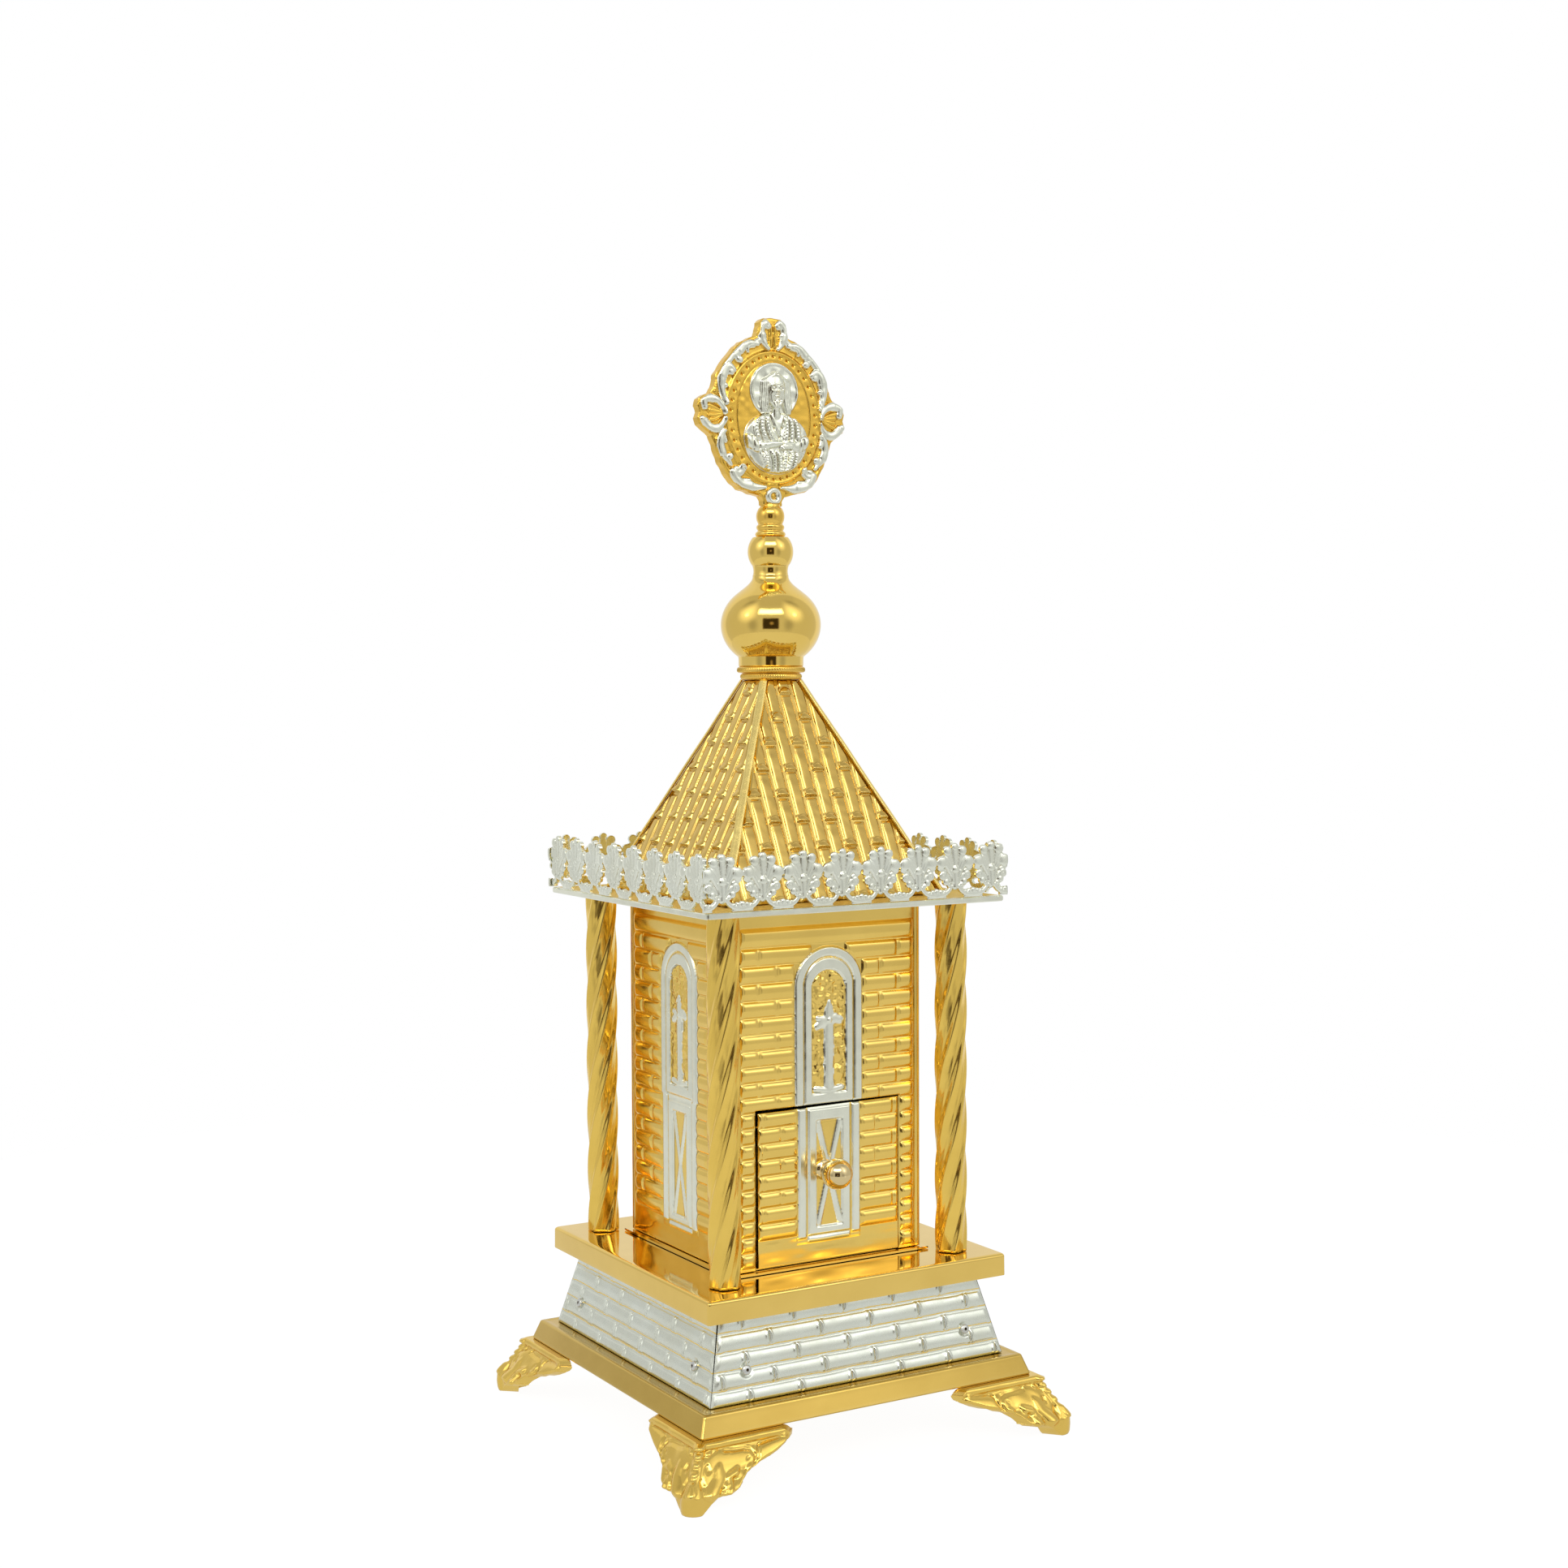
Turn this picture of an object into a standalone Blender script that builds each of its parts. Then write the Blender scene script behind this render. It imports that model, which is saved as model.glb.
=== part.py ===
# Tabernacle box: a small church tower in gilded and silvered sheet metal, with a
# drawer in the lower half of its front wall, four rope columns, a gallery, a
# pyramid roof, an onion dome and an oval medallion on top.
#
# Frame: metres, +Z up, origin on the ground at the centre of the four feet.
# The drawer front faces -Y. Left is -X, right is +X.
import bpy
import bmesh
import math
from mathutils import Matrix, Vector

MM = 0.001                     # all sizes below are in mm, heights from the ground

# ---------------------------------------------------------------- dimensions
# A "half" is half the width of a square piece, or its reach from the centre.
GAP = 0.3                      # clearance between neighbouring pieces

TOE_HALF = 97.2                # across the toes, at the corners
TOE_DRAW_IN = 9.2              # how far a foot's lower edge draws in along its wing
FOOT_RISE = 19.0               # how far that edge rises along its wing
FOOT_WING = 43.0               # reach of a foot's wing along the plinth
FOOT_TOP = 25.0
FOOT_WALL = 4.0
FOOT_FLANGE_HALF = 74.0        # inner edge of the flange under the plinth
FOOT_FLANGE_SHEET = 3.4
FOOT_INNER_HALF = 83.6         # inside corner between flange and wall
FOOT_LEDGE = 3.2               # how far the foot's top stands out from the plinth
TOE_PAD = 6.0                  # width of the toe each way from the diagonal

PLINTH_BOTTOM_HALF = 84.0
PLINTH_TOP_HALF = 81.3
PLINTH_Z0 = 25.7
PLINTH_Z1 = 34.2
PLINTH_SHEET = 1.2
PLINTH_BEVEL = 0.9

SKIRT_BOTTOM_HALF = 74.7
SKIRT_TOP_HALF = 66.3
SKIRT_Z0 = 34.6
SKIRT_Z1 = 69.0
SKIRT_SHEET = 1.0
SKIRT_MITRE = 0.35             # cut back from each corner
SKIRT_FRAME_SHEET = 1.2
SKIRT_SCREW_X = 56.0
SKIRT_SCREW_Z = 47.2
SKIRT_HOLE_R = 1.3

MID_HALF = 76.0
MID_Z0 = SKIRT_Z1 + GAP
MID_Z1 = 79.3
MID_SHEET = 1.4
MID_BEVEL = 1.5
SKIRT_FRAME_Z1 = MID_Z1 - MID_SHEET - GAP

FLOOR_HALF = 51.0
FLOOR_Z0 = MID_Z1 + GAP
FLOOR_Z1 = 80.5

BOX_HALF = 48.2
WALL_SHEET = 1.0
BOX_INNER_HALF = BOX_HALF - WALL_SHEET
WALL_Z0 = FLOOR_Z1 + GAP
WALL_Z1 = 237.4

DRAWER_HALF = 36.4
DRAWER_Z0 = 81.3
DRAWER_Z1 = 149.6
DRAWER_ORIGIN_Z = 110.0
CUTOUT_LEFT = -37.3
CUTOUT_RIGHT = 36.8
CUTOUT_TOP = 150.4
TRAY_HALF = 36.2
TRAY_Z0 = 82.1
TRAY_Z1 = 139.5
TRAY_BACK = 38.0
SLEEVE_HALF = 38.4
SLEEVE_Z1 = 143.5
SLEEVE_BACK = 44.0
DRAWER_SHEET = 0.9             # sheet of the tray and of its sleeve
KNOB_X = -2.4
KNOB_Z = 121.2
KNOB_HOLE_R = 1.4

COLUMN_CENTRE = 58.4           # in x and in y
COLUMN_R = 6.9
COLUMN_GROOVE = 0.8
COLUMN_LOBES = 6
COLUMN_TURNS = 1.03
COLUMN_Z0 = MID_Z1 + GAP
COLUMN_Z1 = WALL_Z1
COLUMN_ROWS = 18               # mesh steps up the height
COLUMN_SEGMENTS = 12           # mesh steps round each ring
ROD_R = 2.0
BORE_R = 2.35
TIE_ROD_Z1 = 239.9
TIE_HEAD_R = 4.0
TIE_HEAD_HEIGHT = 3.0

ROOF_PLATE_HALF = 75.7
ROOF_PLATE_Z0 = WALL_Z1 + GAP
ROOF_PLATE_Z1 = 240.4
ROOF_PLATE_CORNER = 1.6
ROOF_PLATE_DRILL_Z = 239.0
PLATE_DRILL_LENGTH = 12.0

PALMETTE_PITCH = 19.5
PALMETTE_COUNT = 8
GALLERY_SHEET = 1.0
GALLERY_SETBACK = 0.3          # from the edge of the roof plate
GALLERY_FRONT_REACH = 77.0     # half length of the front and rear strips
GALLERY_RAIL_HEIGHT = 3.0      # end height of the rail, below the palmettes

ROOF_BASE_HALF = 55.8
ROOF_TOP_HALF = 9.2
ROOF_Z0 = ROOF_PLATE_Z1 + GAP
ROOF_Z1 = 336.8
ROOF_SHEET = 1.0
ROOF_MITRE = 0.2
HIP_WIDTH = 2.8
HIP_SHEET = 0.6

COLLAR_Z0 = ROOF_Z1 + GAP
COLLAR_Z1 = 342.7
COLLAR_RECESS_R = 11.0
COLLAR_RECESS_Z = 340.4
ONION_Z0 = COLLAR_Z1 + GAP
ONION_NECK_Z = 347.2           # lower end of the elliptical bulb
ONION_MID_Z = 361.8
ONION_JOIN_Z = 376.4           # upper end of the bulb, where the flare begins
ONION_Z1 = 383.9
ONION_R = 22.8
ONION_HALF_HEIGHT = 19.2       # vertical half axis of the bulb
ONION_BASE_R = 14.8
ONION_TOP_R = 8.2
ONION_BEND = (9.6, 380.6)      # control point of the flare: radius, height
ONION_SHEET = 1.4
ONION_MOUTH_R = 6.6            # opening at the top
FERRULE_Z0 = ONION_Z1 + GAP
FERRULE_Z1 = 388.3
BALL_Z0 = FERRULE_Z1 + GAP
BALL_MID_Z = 394.9
BALL_R = 10.4
BALL_Z1 = 401.3
STEM_Z0 = BALL_Z1 + GAP
STEM_Z1 = 415.9
STEM_BORE_Z1 = 409.0
CENTRE_ROD_Z0 = 231.5
CENTRE_ROD_Z1 = 408.5
NUT_R = 4.6
NUT_Z0 = 233.4

MEDAL_Z = 455.2
MEDAL_HALF_WIDTH = 30.5        # scroll border, before the crests
MEDAL_HALF_HEIGHT = 35.6
MEDAL_SHEET = 4.0
MEDAL_POINTS = 72
MEDAL_SCROLLS = 16
MEDAL_SCROLL_DEPTH = 0.9

# Quarter turn k takes the front to SIDES[k] and the front left corner to CORNERS[k].
SIDES = ["front", "right", "rear", "left"]
CORNERS = [("front_left", -1, -1), ("front_right", 1, -1),
           ("rear_right", 1, 1), ("rear_left", -1, 1)]
SQUARE = [(-1, -1), (1, -1), (1, 1), (-1, 1)]
VERTICAL = (0, 0, 1)
FACING_FRONT = (math.pi / 2, 0.0, 0.0)   # own Z to -Y, own Y to +Z

# Base colours, RGBA
GOLD = (0.83, 0.58, 0.19, 1.0)
DEEP_GOLD = (0.80, 0.50, 0.12, 1.0)
SILVER = (0.80, 0.80, 0.74, 1.0)
STEEL = (0.62, 0.62, 0.60, 1.0)

# ---------------------------------------------------------------- clean start
for old in list(bpy.data.objects):
    bpy.data.objects.remove(old, do_unlink=True)

parts = bpy.data.collections.new("tabernacle_box")
cutters = bpy.data.collections.new("cutters")
bpy.context.scene.collection.children.link(parts)
bpy.context.scene.collection.children.link(cutters)


# ---------------------------------------------------------------- helpers
def finish(obj, colour=GOLD, roughness=0.22, smooth=False):
    """Link the object and give it a metal of its own."""
    mat = bpy.data.materials.new(obj.name)
    mat.use_nodes = True
    shader = mat.node_tree.nodes["Principled BSDF"]
    shader.inputs["Base Color"].default_value = colour
    shader.inputs["Roughness"].default_value = roughness
    shader.inputs["Metallic"].default_value = 1.0
    obj.data.materials.append(mat)
    parts.objects.link(obj)
    if smooth:
        obj.data.shade_smooth()
        obj.data.set_sharp_from_angle(angle=math.radians(35))
    return obj


def mesh_object(name, bm):
    bmesh.ops.recalc_face_normals(bm, faces=bm.faces[:])
    mesh = bpy.data.meshes.new(name)
    bm.to_mesh(mesh)
    bm.free()
    return bpy.data.objects.new(name, mesh)


def quarter_turn(k, x, y, z):
    """A point of the front side, or front left corner, after k quarter turns."""
    return Matrix.Rotation(k * math.pi / 2, 3, 'Z') @ Vector((x, y, z))


def aim(obj, place, direction):
    """Put the origin at a place in mm, with the object's own Z along a direction."""
    obj.location = Vector(place) * MM
    obj.rotation_euler = Vector(direction).to_track_quat('Z', 'Y').to_euler()


def hexahedron(name, low, high):
    """Cube whose four lower and four upper corners are moved to the given points."""
    bm = bmesh.new()
    bmesh.ops.create_cube(bm, size=2.0)
    for v in bm.verts:
        corner = SQUARE.index((round(v.co.x), round(v.co.y)))
        v.co = Vector((low if v.co.z < 0 else high)[corner]) * MM
    return mesh_object(name, bm)


def block(name, x0, x1, y0, y1, z0, z1):
    ring = [(x0, y0), (x1, y0), (x1, y1), (x0, y1)]
    return hexahedron(name, [(x, y, z0) for x, y in ring], [(x, y, z1) for x, y in ring])


def open_shell(obj, open_way, sheet, top_bevel=0.0):
    """Turn a solid into folded sheet, without the face that looks the open way."""
    bm = bmesh.new()
    bm.from_mesh(obj.data)
    gone = [f for f in bm.faces if f.normal.dot(Vector(open_way)) > 0.9]
    bmesh.ops.delete(bm, geom=gone, context='FACES_ONLY')
    if top_bevel:
        near_top = max(v.co.z for v in bm.verts) - 0.01 * MM
        top = [e for e in bm.edges if all(v.co.z > near_top for v in e.verts)]
        bmesh.ops.bevel(bm, geom=top, offset=top_bevel * MM, segments=3, profile=0.5,
                        affect='EDGES')
    bm.to_mesh(obj.data)
    bm.free()
    shell = obj.modifiers.new("sheet", 'SOLIDIFY')
    shell.thickness = sheet * MM
    shell.offset = -1.0
    return obj


def open_pan(name, low_half, high_half, z0, z1, sheet, top_bevel=0.0):
    """Square pan, open underneath: folded sides and a top sheet."""
    obj = hexahedron(name, [(x * low_half, y * low_half, z0) for x, y in SQUARE],
                     [(x * high_half, y * high_half, z1) for x, y in SQUARE])
    return open_shell(obj, (0, 0, -1), sheet, top_bevel)


def sloped_panel(name, k, low_half, high_half, z0, z1, mitre, sheet):
    """Sheet on one side of a square pyramid, mitred at its corners."""
    inset = sheet / math.cos(math.atan((low_half - high_half) / (z1 - z0)))

    def ring(half, z):
        outer = half - mitre
        inner = outer - inset
        points = [(-outer, -half), (outer, -half), (inner, -half + inset),
                  (-inner, -half + inset)]
        return [quarter_turn(k, x, y, z) for x, y in points]

    return hexahedron(name, ring(low_half, z0), ring(high_half, z1))


def outline(name, loops, thickness):
    """Flat plate from closed outlines in its own XY plane, centred on Z = 0."""
    curve = bpy.data.curves.new(name + "_outline", 'CURVE')
    curve.dimensions = '2D'
    curve.fill_mode = 'BOTH'
    curve.extrude = thickness / 2 * MM
    for loop in loops:
        spline = curve.splines.new('POLY')
        spline.points.add(len(loop) - 1)
        for point, (x, y) in zip(spline.points, loop):
            point.co = (x * MM, y * MM, 0.0, 1.0)
        spline.use_cyclic_u = True
    guide = bpy.data.objects.new(name + "_outline", curve)
    parts.objects.link(guide)
    bpy.context.view_layer.update()
    graph = bpy.context.evaluated_depsgraph_get()
    mesh = bpy.data.meshes.new_from_object(guide.evaluated_get(graph))
    mesh.name = name
    bpy.data.objects.remove(guide, do_unlink=True)
    # The curve's faces and rim come apart; weld them into one solid.
    bm = bmesh.new()
    bm.from_mesh(mesh)
    bmesh.ops.remove_doubles(bm, verts=bm.verts[:], dist=0.00001)
    bmesh.ops.recalc_face_normals(bm, faces=bm.faces[:])
    bm.to_mesh(mesh)
    bm.free()
    return bpy.data.objects.new(name, mesh)


def arc(centre_r, centre_z, radius, start, end, steps):
    """Profile points on a circle, angles in degrees from +radius towards +height."""
    points = []
    for i in range(steps + 1):
        angle = math.radians(start + (end - start) * i / steps)
        points.append((centre_r + radius * math.cos(angle),
                       centre_z + radius * math.sin(angle)))
    return points


def turned(name, profile, steps, closed=False):
    """Profile of (radius, height) points, top to bottom down the outer side,
    swept round its own Z axis."""
    bm = bmesh.new()
    verts = [bm.verts.new((r * MM, 0.0, z * MM)) for r, z in profile]
    for a, b in zip(verts, verts[1:]):
        bm.edges.new((a, b))
    if closed:
        bm.edges.new((verts[-1], verts[0]))
    mesh = bpy.data.meshes.new(name)
    bm.to_mesh(mesh)
    bm.free()
    obj = bpy.data.objects.new(name, mesh)
    screw = obj.modifiers.new("turn", 'SCREW')
    screw.axis = 'Z'
    screw.angle = math.tau
    screw.steps = steps
    screw.render_steps = steps
    screw.use_merge_vertices = True
    screw.merge_threshold = 0.00001
    screw.use_smooth_shade = True
    return obj


def loft(name, rings):
    """Closed skin through rings of points, with both ends capped."""
    bm = bmesh.new()
    rows = [[bm.verts.new(Vector(p) * MM) for p in ring] for ring in rings]
    count = len(rows[0])
    for a, b in zip(rows, rows[1:]):
        for i in range(count):
            j = (i + 1) % count
            bm.faces.new((a[i], a[j], b[j], b[i]))
    bm.faces.new(rows[0])
    bm.faces.new(rows[-1])
    return mesh_object(name, bm)


def cut(obj, cutter):
    mod = obj.modifiers.new("cut_" + cutter.name, 'BOOLEAN')
    mod.operation = 'DIFFERENCE'
    mod.solver = 'EXACT'
    mod.object = cutter


def drill(obj, name, centre, direction, radius, length, sides):
    """Cut a round hole; the cutter is returned so other pieces can share it."""
    bm = bmesh.new()
    bmesh.ops.create_cone(bm, cap_ends=True, segments=sides, radius1=radius * MM,
                          radius2=radius * MM, depth=length * MM)
    cutter = mesh_object(name, bm)
    cutters.objects.link(cutter)
    aim(cutter, centre, direction)
    cutter.hide_render = True
    cutter.display_type = 'WIRE'
    cut(obj, cutter)
    return cutter


# ---------------------------------------------------------------- corner feet
# A bracket foot: a flange under the plinth's corner and two wings whose lower
# edges run down to a toe on the diagonal.
FOOT_STATIONS = [FOOT_WING, 36.0, 28.0, 20.0, 14.0]   # distances from the plinth's corner


def foot_section(distance):
    """Ring of (offset from centre, height) at a distance from the plinth's corner."""
    f = distance / FOOT_WING
    low_z = FOOT_RISE * f
    low = TOE_HALF - TOE_DRAW_IN * f
    mid_z = low_z + 8.0 - 6.0 * f
    mid = low - 0.2 * f
    top = PLINTH_BOTTOM_HALF + FOOT_LEDGE
    flange_z = FOOT_TOP - FOOT_FLANGE_SHEET
    return [(FOOT_FLANGE_HALF, FOOT_TOP), (top, FOOT_TOP), (top + 1.0, FOOT_TOP - 1.5),
            (mid, mid_z), (low, low_z), (low - FOOT_WALL, low_z),
            (mid - FOOT_WALL, mid_z - 0.6 * f), (FOOT_INNER_HALF, flange_z - 0.4 * f),
            (FOOT_FLANGE_HALF, flange_z)]


def foot_rings():
    """Rings of the front left foot, from its left wing round to its front wing."""
    left_wing = [[(-a, -PLINTH_BOTTOM_HALF + u, z) for a, z in foot_section(u)]
                 for u in FOOT_STATIONS]
    front_wing = [[(-PLINTH_BOTTOM_HALF + u, -a, z) for a, z in foot_section(u)]
                  for u in reversed(FOOT_STATIONS)]
    pad = foot_section(0.0)
    toe = [[(-a, -a + TOE_PAD, z) for a, z in pad],
           [(-a, -a, z) for a, z in pad],
           [(-a + TOE_PAD, -a, z) for a, z in pad]]
    return left_wing + toe + front_wing


def build_feet():
    for k, (where, _, _) in enumerate(CORNERS):
        rings = [[quarter_turn(k, *p) for p in ring] for ring in foot_rings()]
        finish(loft("foot_" + where, rings), DEEP_GOLD, roughness=0.3, smooth=True)


# ---------------------------------------------------------------- plinth, mid plate
def build_plinth():
    finish(open_pan("plinth", PLINTH_BOTTOM_HALF, PLINTH_TOP_HALF, PLINTH_Z0, PLINTH_Z1,
                    PLINTH_SHEET, PLINTH_BEVEL))


def build_mid_plate():
    return finish(open_pan("mid_plate", MID_HALF, MID_HALF, MID_Z0, MID_Z1, MID_SHEET,
                           MID_BEVEL), roughness=0.1)


# ---------------------------------------------------------------- skirt
SKIRT_SLOPE = (SKIRT_BOTTOM_HALF - SKIRT_TOP_HALF) / (SKIRT_Z1 - SKIRT_Z0)
SKIRT_TILT = math.atan(SKIRT_SLOPE)

# (radius, height) above the panel's face: slotted dome, underside, shank
SKIRT_SCREW_PROFILE = [
    (0.0, 0.75), (0.45, 0.75), (0.6, 1.25), (1.2, 1.15), (1.7, 0.8),
    (2.0, 0.3), (1.0, 0.3), (1.0, -2.9), (0.0, -2.9)]


def skirt_half(z):
    return SKIRT_BOTTOM_HALF - SKIRT_SLOPE * (z - SKIRT_Z0)


def build_skirt_frame():
    """Pan inside the panels, reaching up under the mid plate's top sheet."""
    inset = (SKIRT_SHEET + GAP) / math.cos(SKIRT_TILT)
    frame = open_pan("skirt_frame", skirt_half(SKIRT_Z0) - inset,
                     skirt_half(SKIRT_FRAME_Z1) - inset, SKIRT_Z0 + GAP, SKIRT_FRAME_Z1,
                     SKIRT_FRAME_SHEET)
    return finish(frame, STEEL, roughness=0.5)


def build_skirt_panel(k, where, frame):
    """One side of the skirt, screwed to the frame near both ends."""
    panel = sloped_panel("skirt_panel_" + where, k, SKIRT_BOTTOM_HALF, SKIRT_TOP_HALF,
                         SKIRT_Z0, SKIRT_Z1, SKIRT_MITRE, SKIRT_SHEET)
    finish(panel, SILVER, roughness=0.25)
    axis = quarter_turn(k, 0.0, -math.cos(SKIRT_TILT), math.sin(SKIRT_TILT))
    for label, x in (("a", -SKIRT_SCREW_X), ("b", SKIRT_SCREW_X)):
        place = quarter_turn(k, x, -skirt_half(SKIRT_SCREW_Z), SKIRT_SCREW_Z)
        hole = drill(panel, "skirt_hole_%s_%s" % (where, label), place, axis,
                     SKIRT_HOLE_R, length=8.0, sides=10)
        cut(frame, hole)
        screw = turned("skirt_screw_%s_%s" % (where, label), SKIRT_SCREW_PROFILE, steps=12)
        aim(screw, place, axis)
        finish(screw, SILVER, roughness=0.3)


# ---------------------------------------------------------------- box
def build_box():
    half, inner = BOX_HALF, BOX_INNER_HALF
    finish(block("box_floor", -FLOOR_HALF, FLOOR_HALF, -FLOOR_HALF, FLOOR_HALF,
                 FLOOR_Z0, FLOOR_Z1))
    front_loop = [(-half, WALL_Z0), (CUTOUT_LEFT, WALL_Z0), (CUTOUT_LEFT, CUTOUT_TOP),
                  (CUTOUT_RIGHT, CUTOUT_TOP), (CUTOUT_RIGHT, WALL_Z0), (half, WALL_Z0),
                  (half, WALL_Z1), (-half, WALL_Z1)]
    front = outline("front_wall", [front_loop], WALL_SHEET)
    front.rotation_euler = FACING_FRONT
    front.location = (0.0, (-half + WALL_SHEET / 2) * MM, 0.0)
    finish(front)
    finish(block("rear_wall", -half, half, inner, half, WALL_Z0, WALL_Z1))
    for name, x0, x1 in (("left_wall", -half, -inner), ("right_wall", inner, half)):
        finish(block(name, x0, x1, -inner + GAP, inner - GAP, WALL_Z0, WALL_Z1))


def build_sleeve():
    """Drawer sleeve, open at the front."""
    sleeve = block("drawer_sleeve", -SLEEVE_HALF, SLEEVE_HALF, -BOX_INNER_HALF + GAP,
                   SLEEVE_BACK, WALL_Z0, SLEEVE_Z1)
    finish(open_shell(sleeve, (0, -1, 0), DRAWER_SHEET), STEEL, roughness=0.5)


# ---------------------------------------------------------------- drawer
# (radius, height) along the knob's axis, 0 on the face of the drawer front
KNOB_PROFILE = (
    [(0.0, 19.0)]
    + arc(0.0, 13.0, 6.0, 72, -42, 7)
    + arc(0.0, 5.9, 4.7, 34, -50, 4)
    + [(3.1, 2.0), (4.6, 1.2), (4.6, 0.3), (1.4, 0.3), (1.4, 8.0), (0.0, 8.0)])
KNOB_SCREW_PROFILE = [
    (0.0, 7.6), (1.1, 7.6), (1.1, -2.6), (2.6, -2.6),
    (2.6, -3.2), (1.8, -4.0), (0.0, -4.0)]


def build_drawer():
    """The drawer slides out along -Y; its pieces hang on an empty on the slide's axis."""
    drawer = bpy.data.objects.new("drawer", None)
    parts.objects.link(drawer)
    drawer.location = (0.0, -BOX_INNER_HALF * MM, DRAWER_ORIGIN_Z * MM)
    bpy.context.view_layer.update()       # brings matrix_world up to date

    def in_drawer(obj):
        obj.parent = drawer
        obj.matrix_parent_inverse = drawer.matrix_world.inverted()

    front = block("drawer_front", -DRAWER_HALF, DRAWER_HALF, -BOX_HALF, -BOX_INNER_HALF,
                  DRAWER_Z0, DRAWER_Z1)
    in_drawer(finish(front))
    tray = block("drawer_tray", -TRAY_HALF, TRAY_HALF, -BOX_INNER_HALF + GAP, TRAY_BACK,
                 TRAY_Z0, TRAY_Z1)
    open_shell(tray, (0, 0, 1), DRAWER_SHEET)
    in_drawer(finish(tray, roughness=0.3))

    seat = (KNOB_X, -BOX_HALF, KNOB_Z)
    hole = drill(front, "knob_hole", seat, (0, 1, 0), KNOB_HOLE_R, length=8.0, sides=12)
    cut(tray, hole)
    knob = finish(turned("drawer_knob", KNOB_PROFILE, steps=14), roughness=0.1)
    screw = finish(turned("knob_screw", KNOB_SCREW_PROFILE, steps=12), STEEL, roughness=0.4)
    for obj in (knob, screw):
        obj.location = Vector(seat) * MM
        obj.rotation_euler = FACING_FRONT
        in_drawer(obj)


# ---------------------------------------------------------------- columns
def build_column(where, x, y):
    """Rope column: soft lobes twisted anticlockwise as they rise, seen from above."""
    rings = []
    for j in range(COLUMN_ROWS + 1):
        z = COLUMN_Z0 + (COLUMN_Z1 - COLUMN_Z0) * j / COLUMN_ROWS
        twist = math.tau * COLUMN_TURNS * j / COLUMN_ROWS
        ring = []
        for i in range(COLUMN_SEGMENTS):
            around = math.tau * i / COLUMN_SEGMENTS
            groove = COLUMN_GROOVE * (0.5 - 0.5 * math.cos(COLUMN_LOBES * around))
            radius = COLUMN_R - groove
            ring.append((x + radius * math.cos(twist + around),
                         y + radius * math.sin(twist + around), z))
        rings.append(ring)
    column = loft("column_" + where, rings)
    drill(column, "column_bore_" + where, (x, y, 160.0), VERTICAL, BORE_R,
          length=200.0, sides=8)
    finish(column, roughness=0.15, smooth=True)


def build_tie_rod(where, x, y, mid_plate, skirt_frame):
    """Rod through a column, with its head under the skirt frame's top sheet."""
    hole = drill(mid_plate, "rod_hole_low_" + where, (x, y, 78.0), VERTICAL, BORE_R,
                 PLATE_DRILL_LENGTH, sides=8)
    cut(skirt_frame, hole)
    head_z1 = SKIRT_FRAME_Z1 - SKIRT_FRAME_SHEET - GAP
    head_z0 = head_z1 - TIE_HEAD_HEIGHT
    rod = turned("tie_rod_" + where,
                 [(0.0, TIE_ROD_Z1), (ROD_R, TIE_ROD_Z1), (ROD_R, head_z1),
                  (TIE_HEAD_R, head_z1), (TIE_HEAD_R, head_z0), (0.0, head_z0)], steps=8)
    rod.location = (x * MM, y * MM, 0.0)
    finish(rod, STEEL, roughness=0.4)


# ---------------------------------------------------------------- roof plate
def build_roof_plate():
    loop = []
    for sx, sy, start in ((1, 1, 0), (-1, 1, 90), (-1, -1, 180), (1, -1, 270)):
        centre = ROOF_PLATE_HALF - ROOF_PLATE_CORNER
        loop += arc(sx * centre, sy * centre, ROOF_PLATE_CORNER, start, start + 90, 3)
    plate = outline("roof_plate", [loop], ROOF_PLATE_Z1 - ROOF_PLATE_Z0)
    plate.location = (0.0, 0.0, (ROOF_PLATE_Z1 + ROOF_PLATE_Z0) / 2 * MM)
    finish(plate, SILVER, roughness=0.2)
    for where, sx, sy in CORNERS:
        drill(plate, "rod_hole_high_" + where,
              (sx * COLUMN_CENTRE, sy * COLUMN_CENTRE, ROOF_PLATE_DRILL_Z), VERTICAL,
              BORE_R, PLATE_DRILL_LENGTH, sides=8)
    drill(plate, "centre_hole", (0, 0, ROOF_PLATE_DRILL_Z), VERTICAL, BORE_R,
          PLATE_DRILL_LENGTH, sides=12)


# ---------------------------------------------------------------- gallery
# A pierced strip on each side: a row of palmettes over a continuous foot rail.
# Both tables: offset along the strip, height above the strip's foot.
PALMETTE = [
    (-9.5, 12.6), (-8.6, 17.2), (-5.0, 20.8), (0.0, 23.8),
    (5.0, 20.8), (8.6, 17.2), (9.5, 12.6)]
# Opening between two palmettes
PIERCING = [
    (0.0, 10.4), (2.7, 8.4), (2.3, 5.6), (4.6, 2.6),
    (-4.6, 2.6), (-2.3, 5.6), (-2.7, 8.4)]


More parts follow.
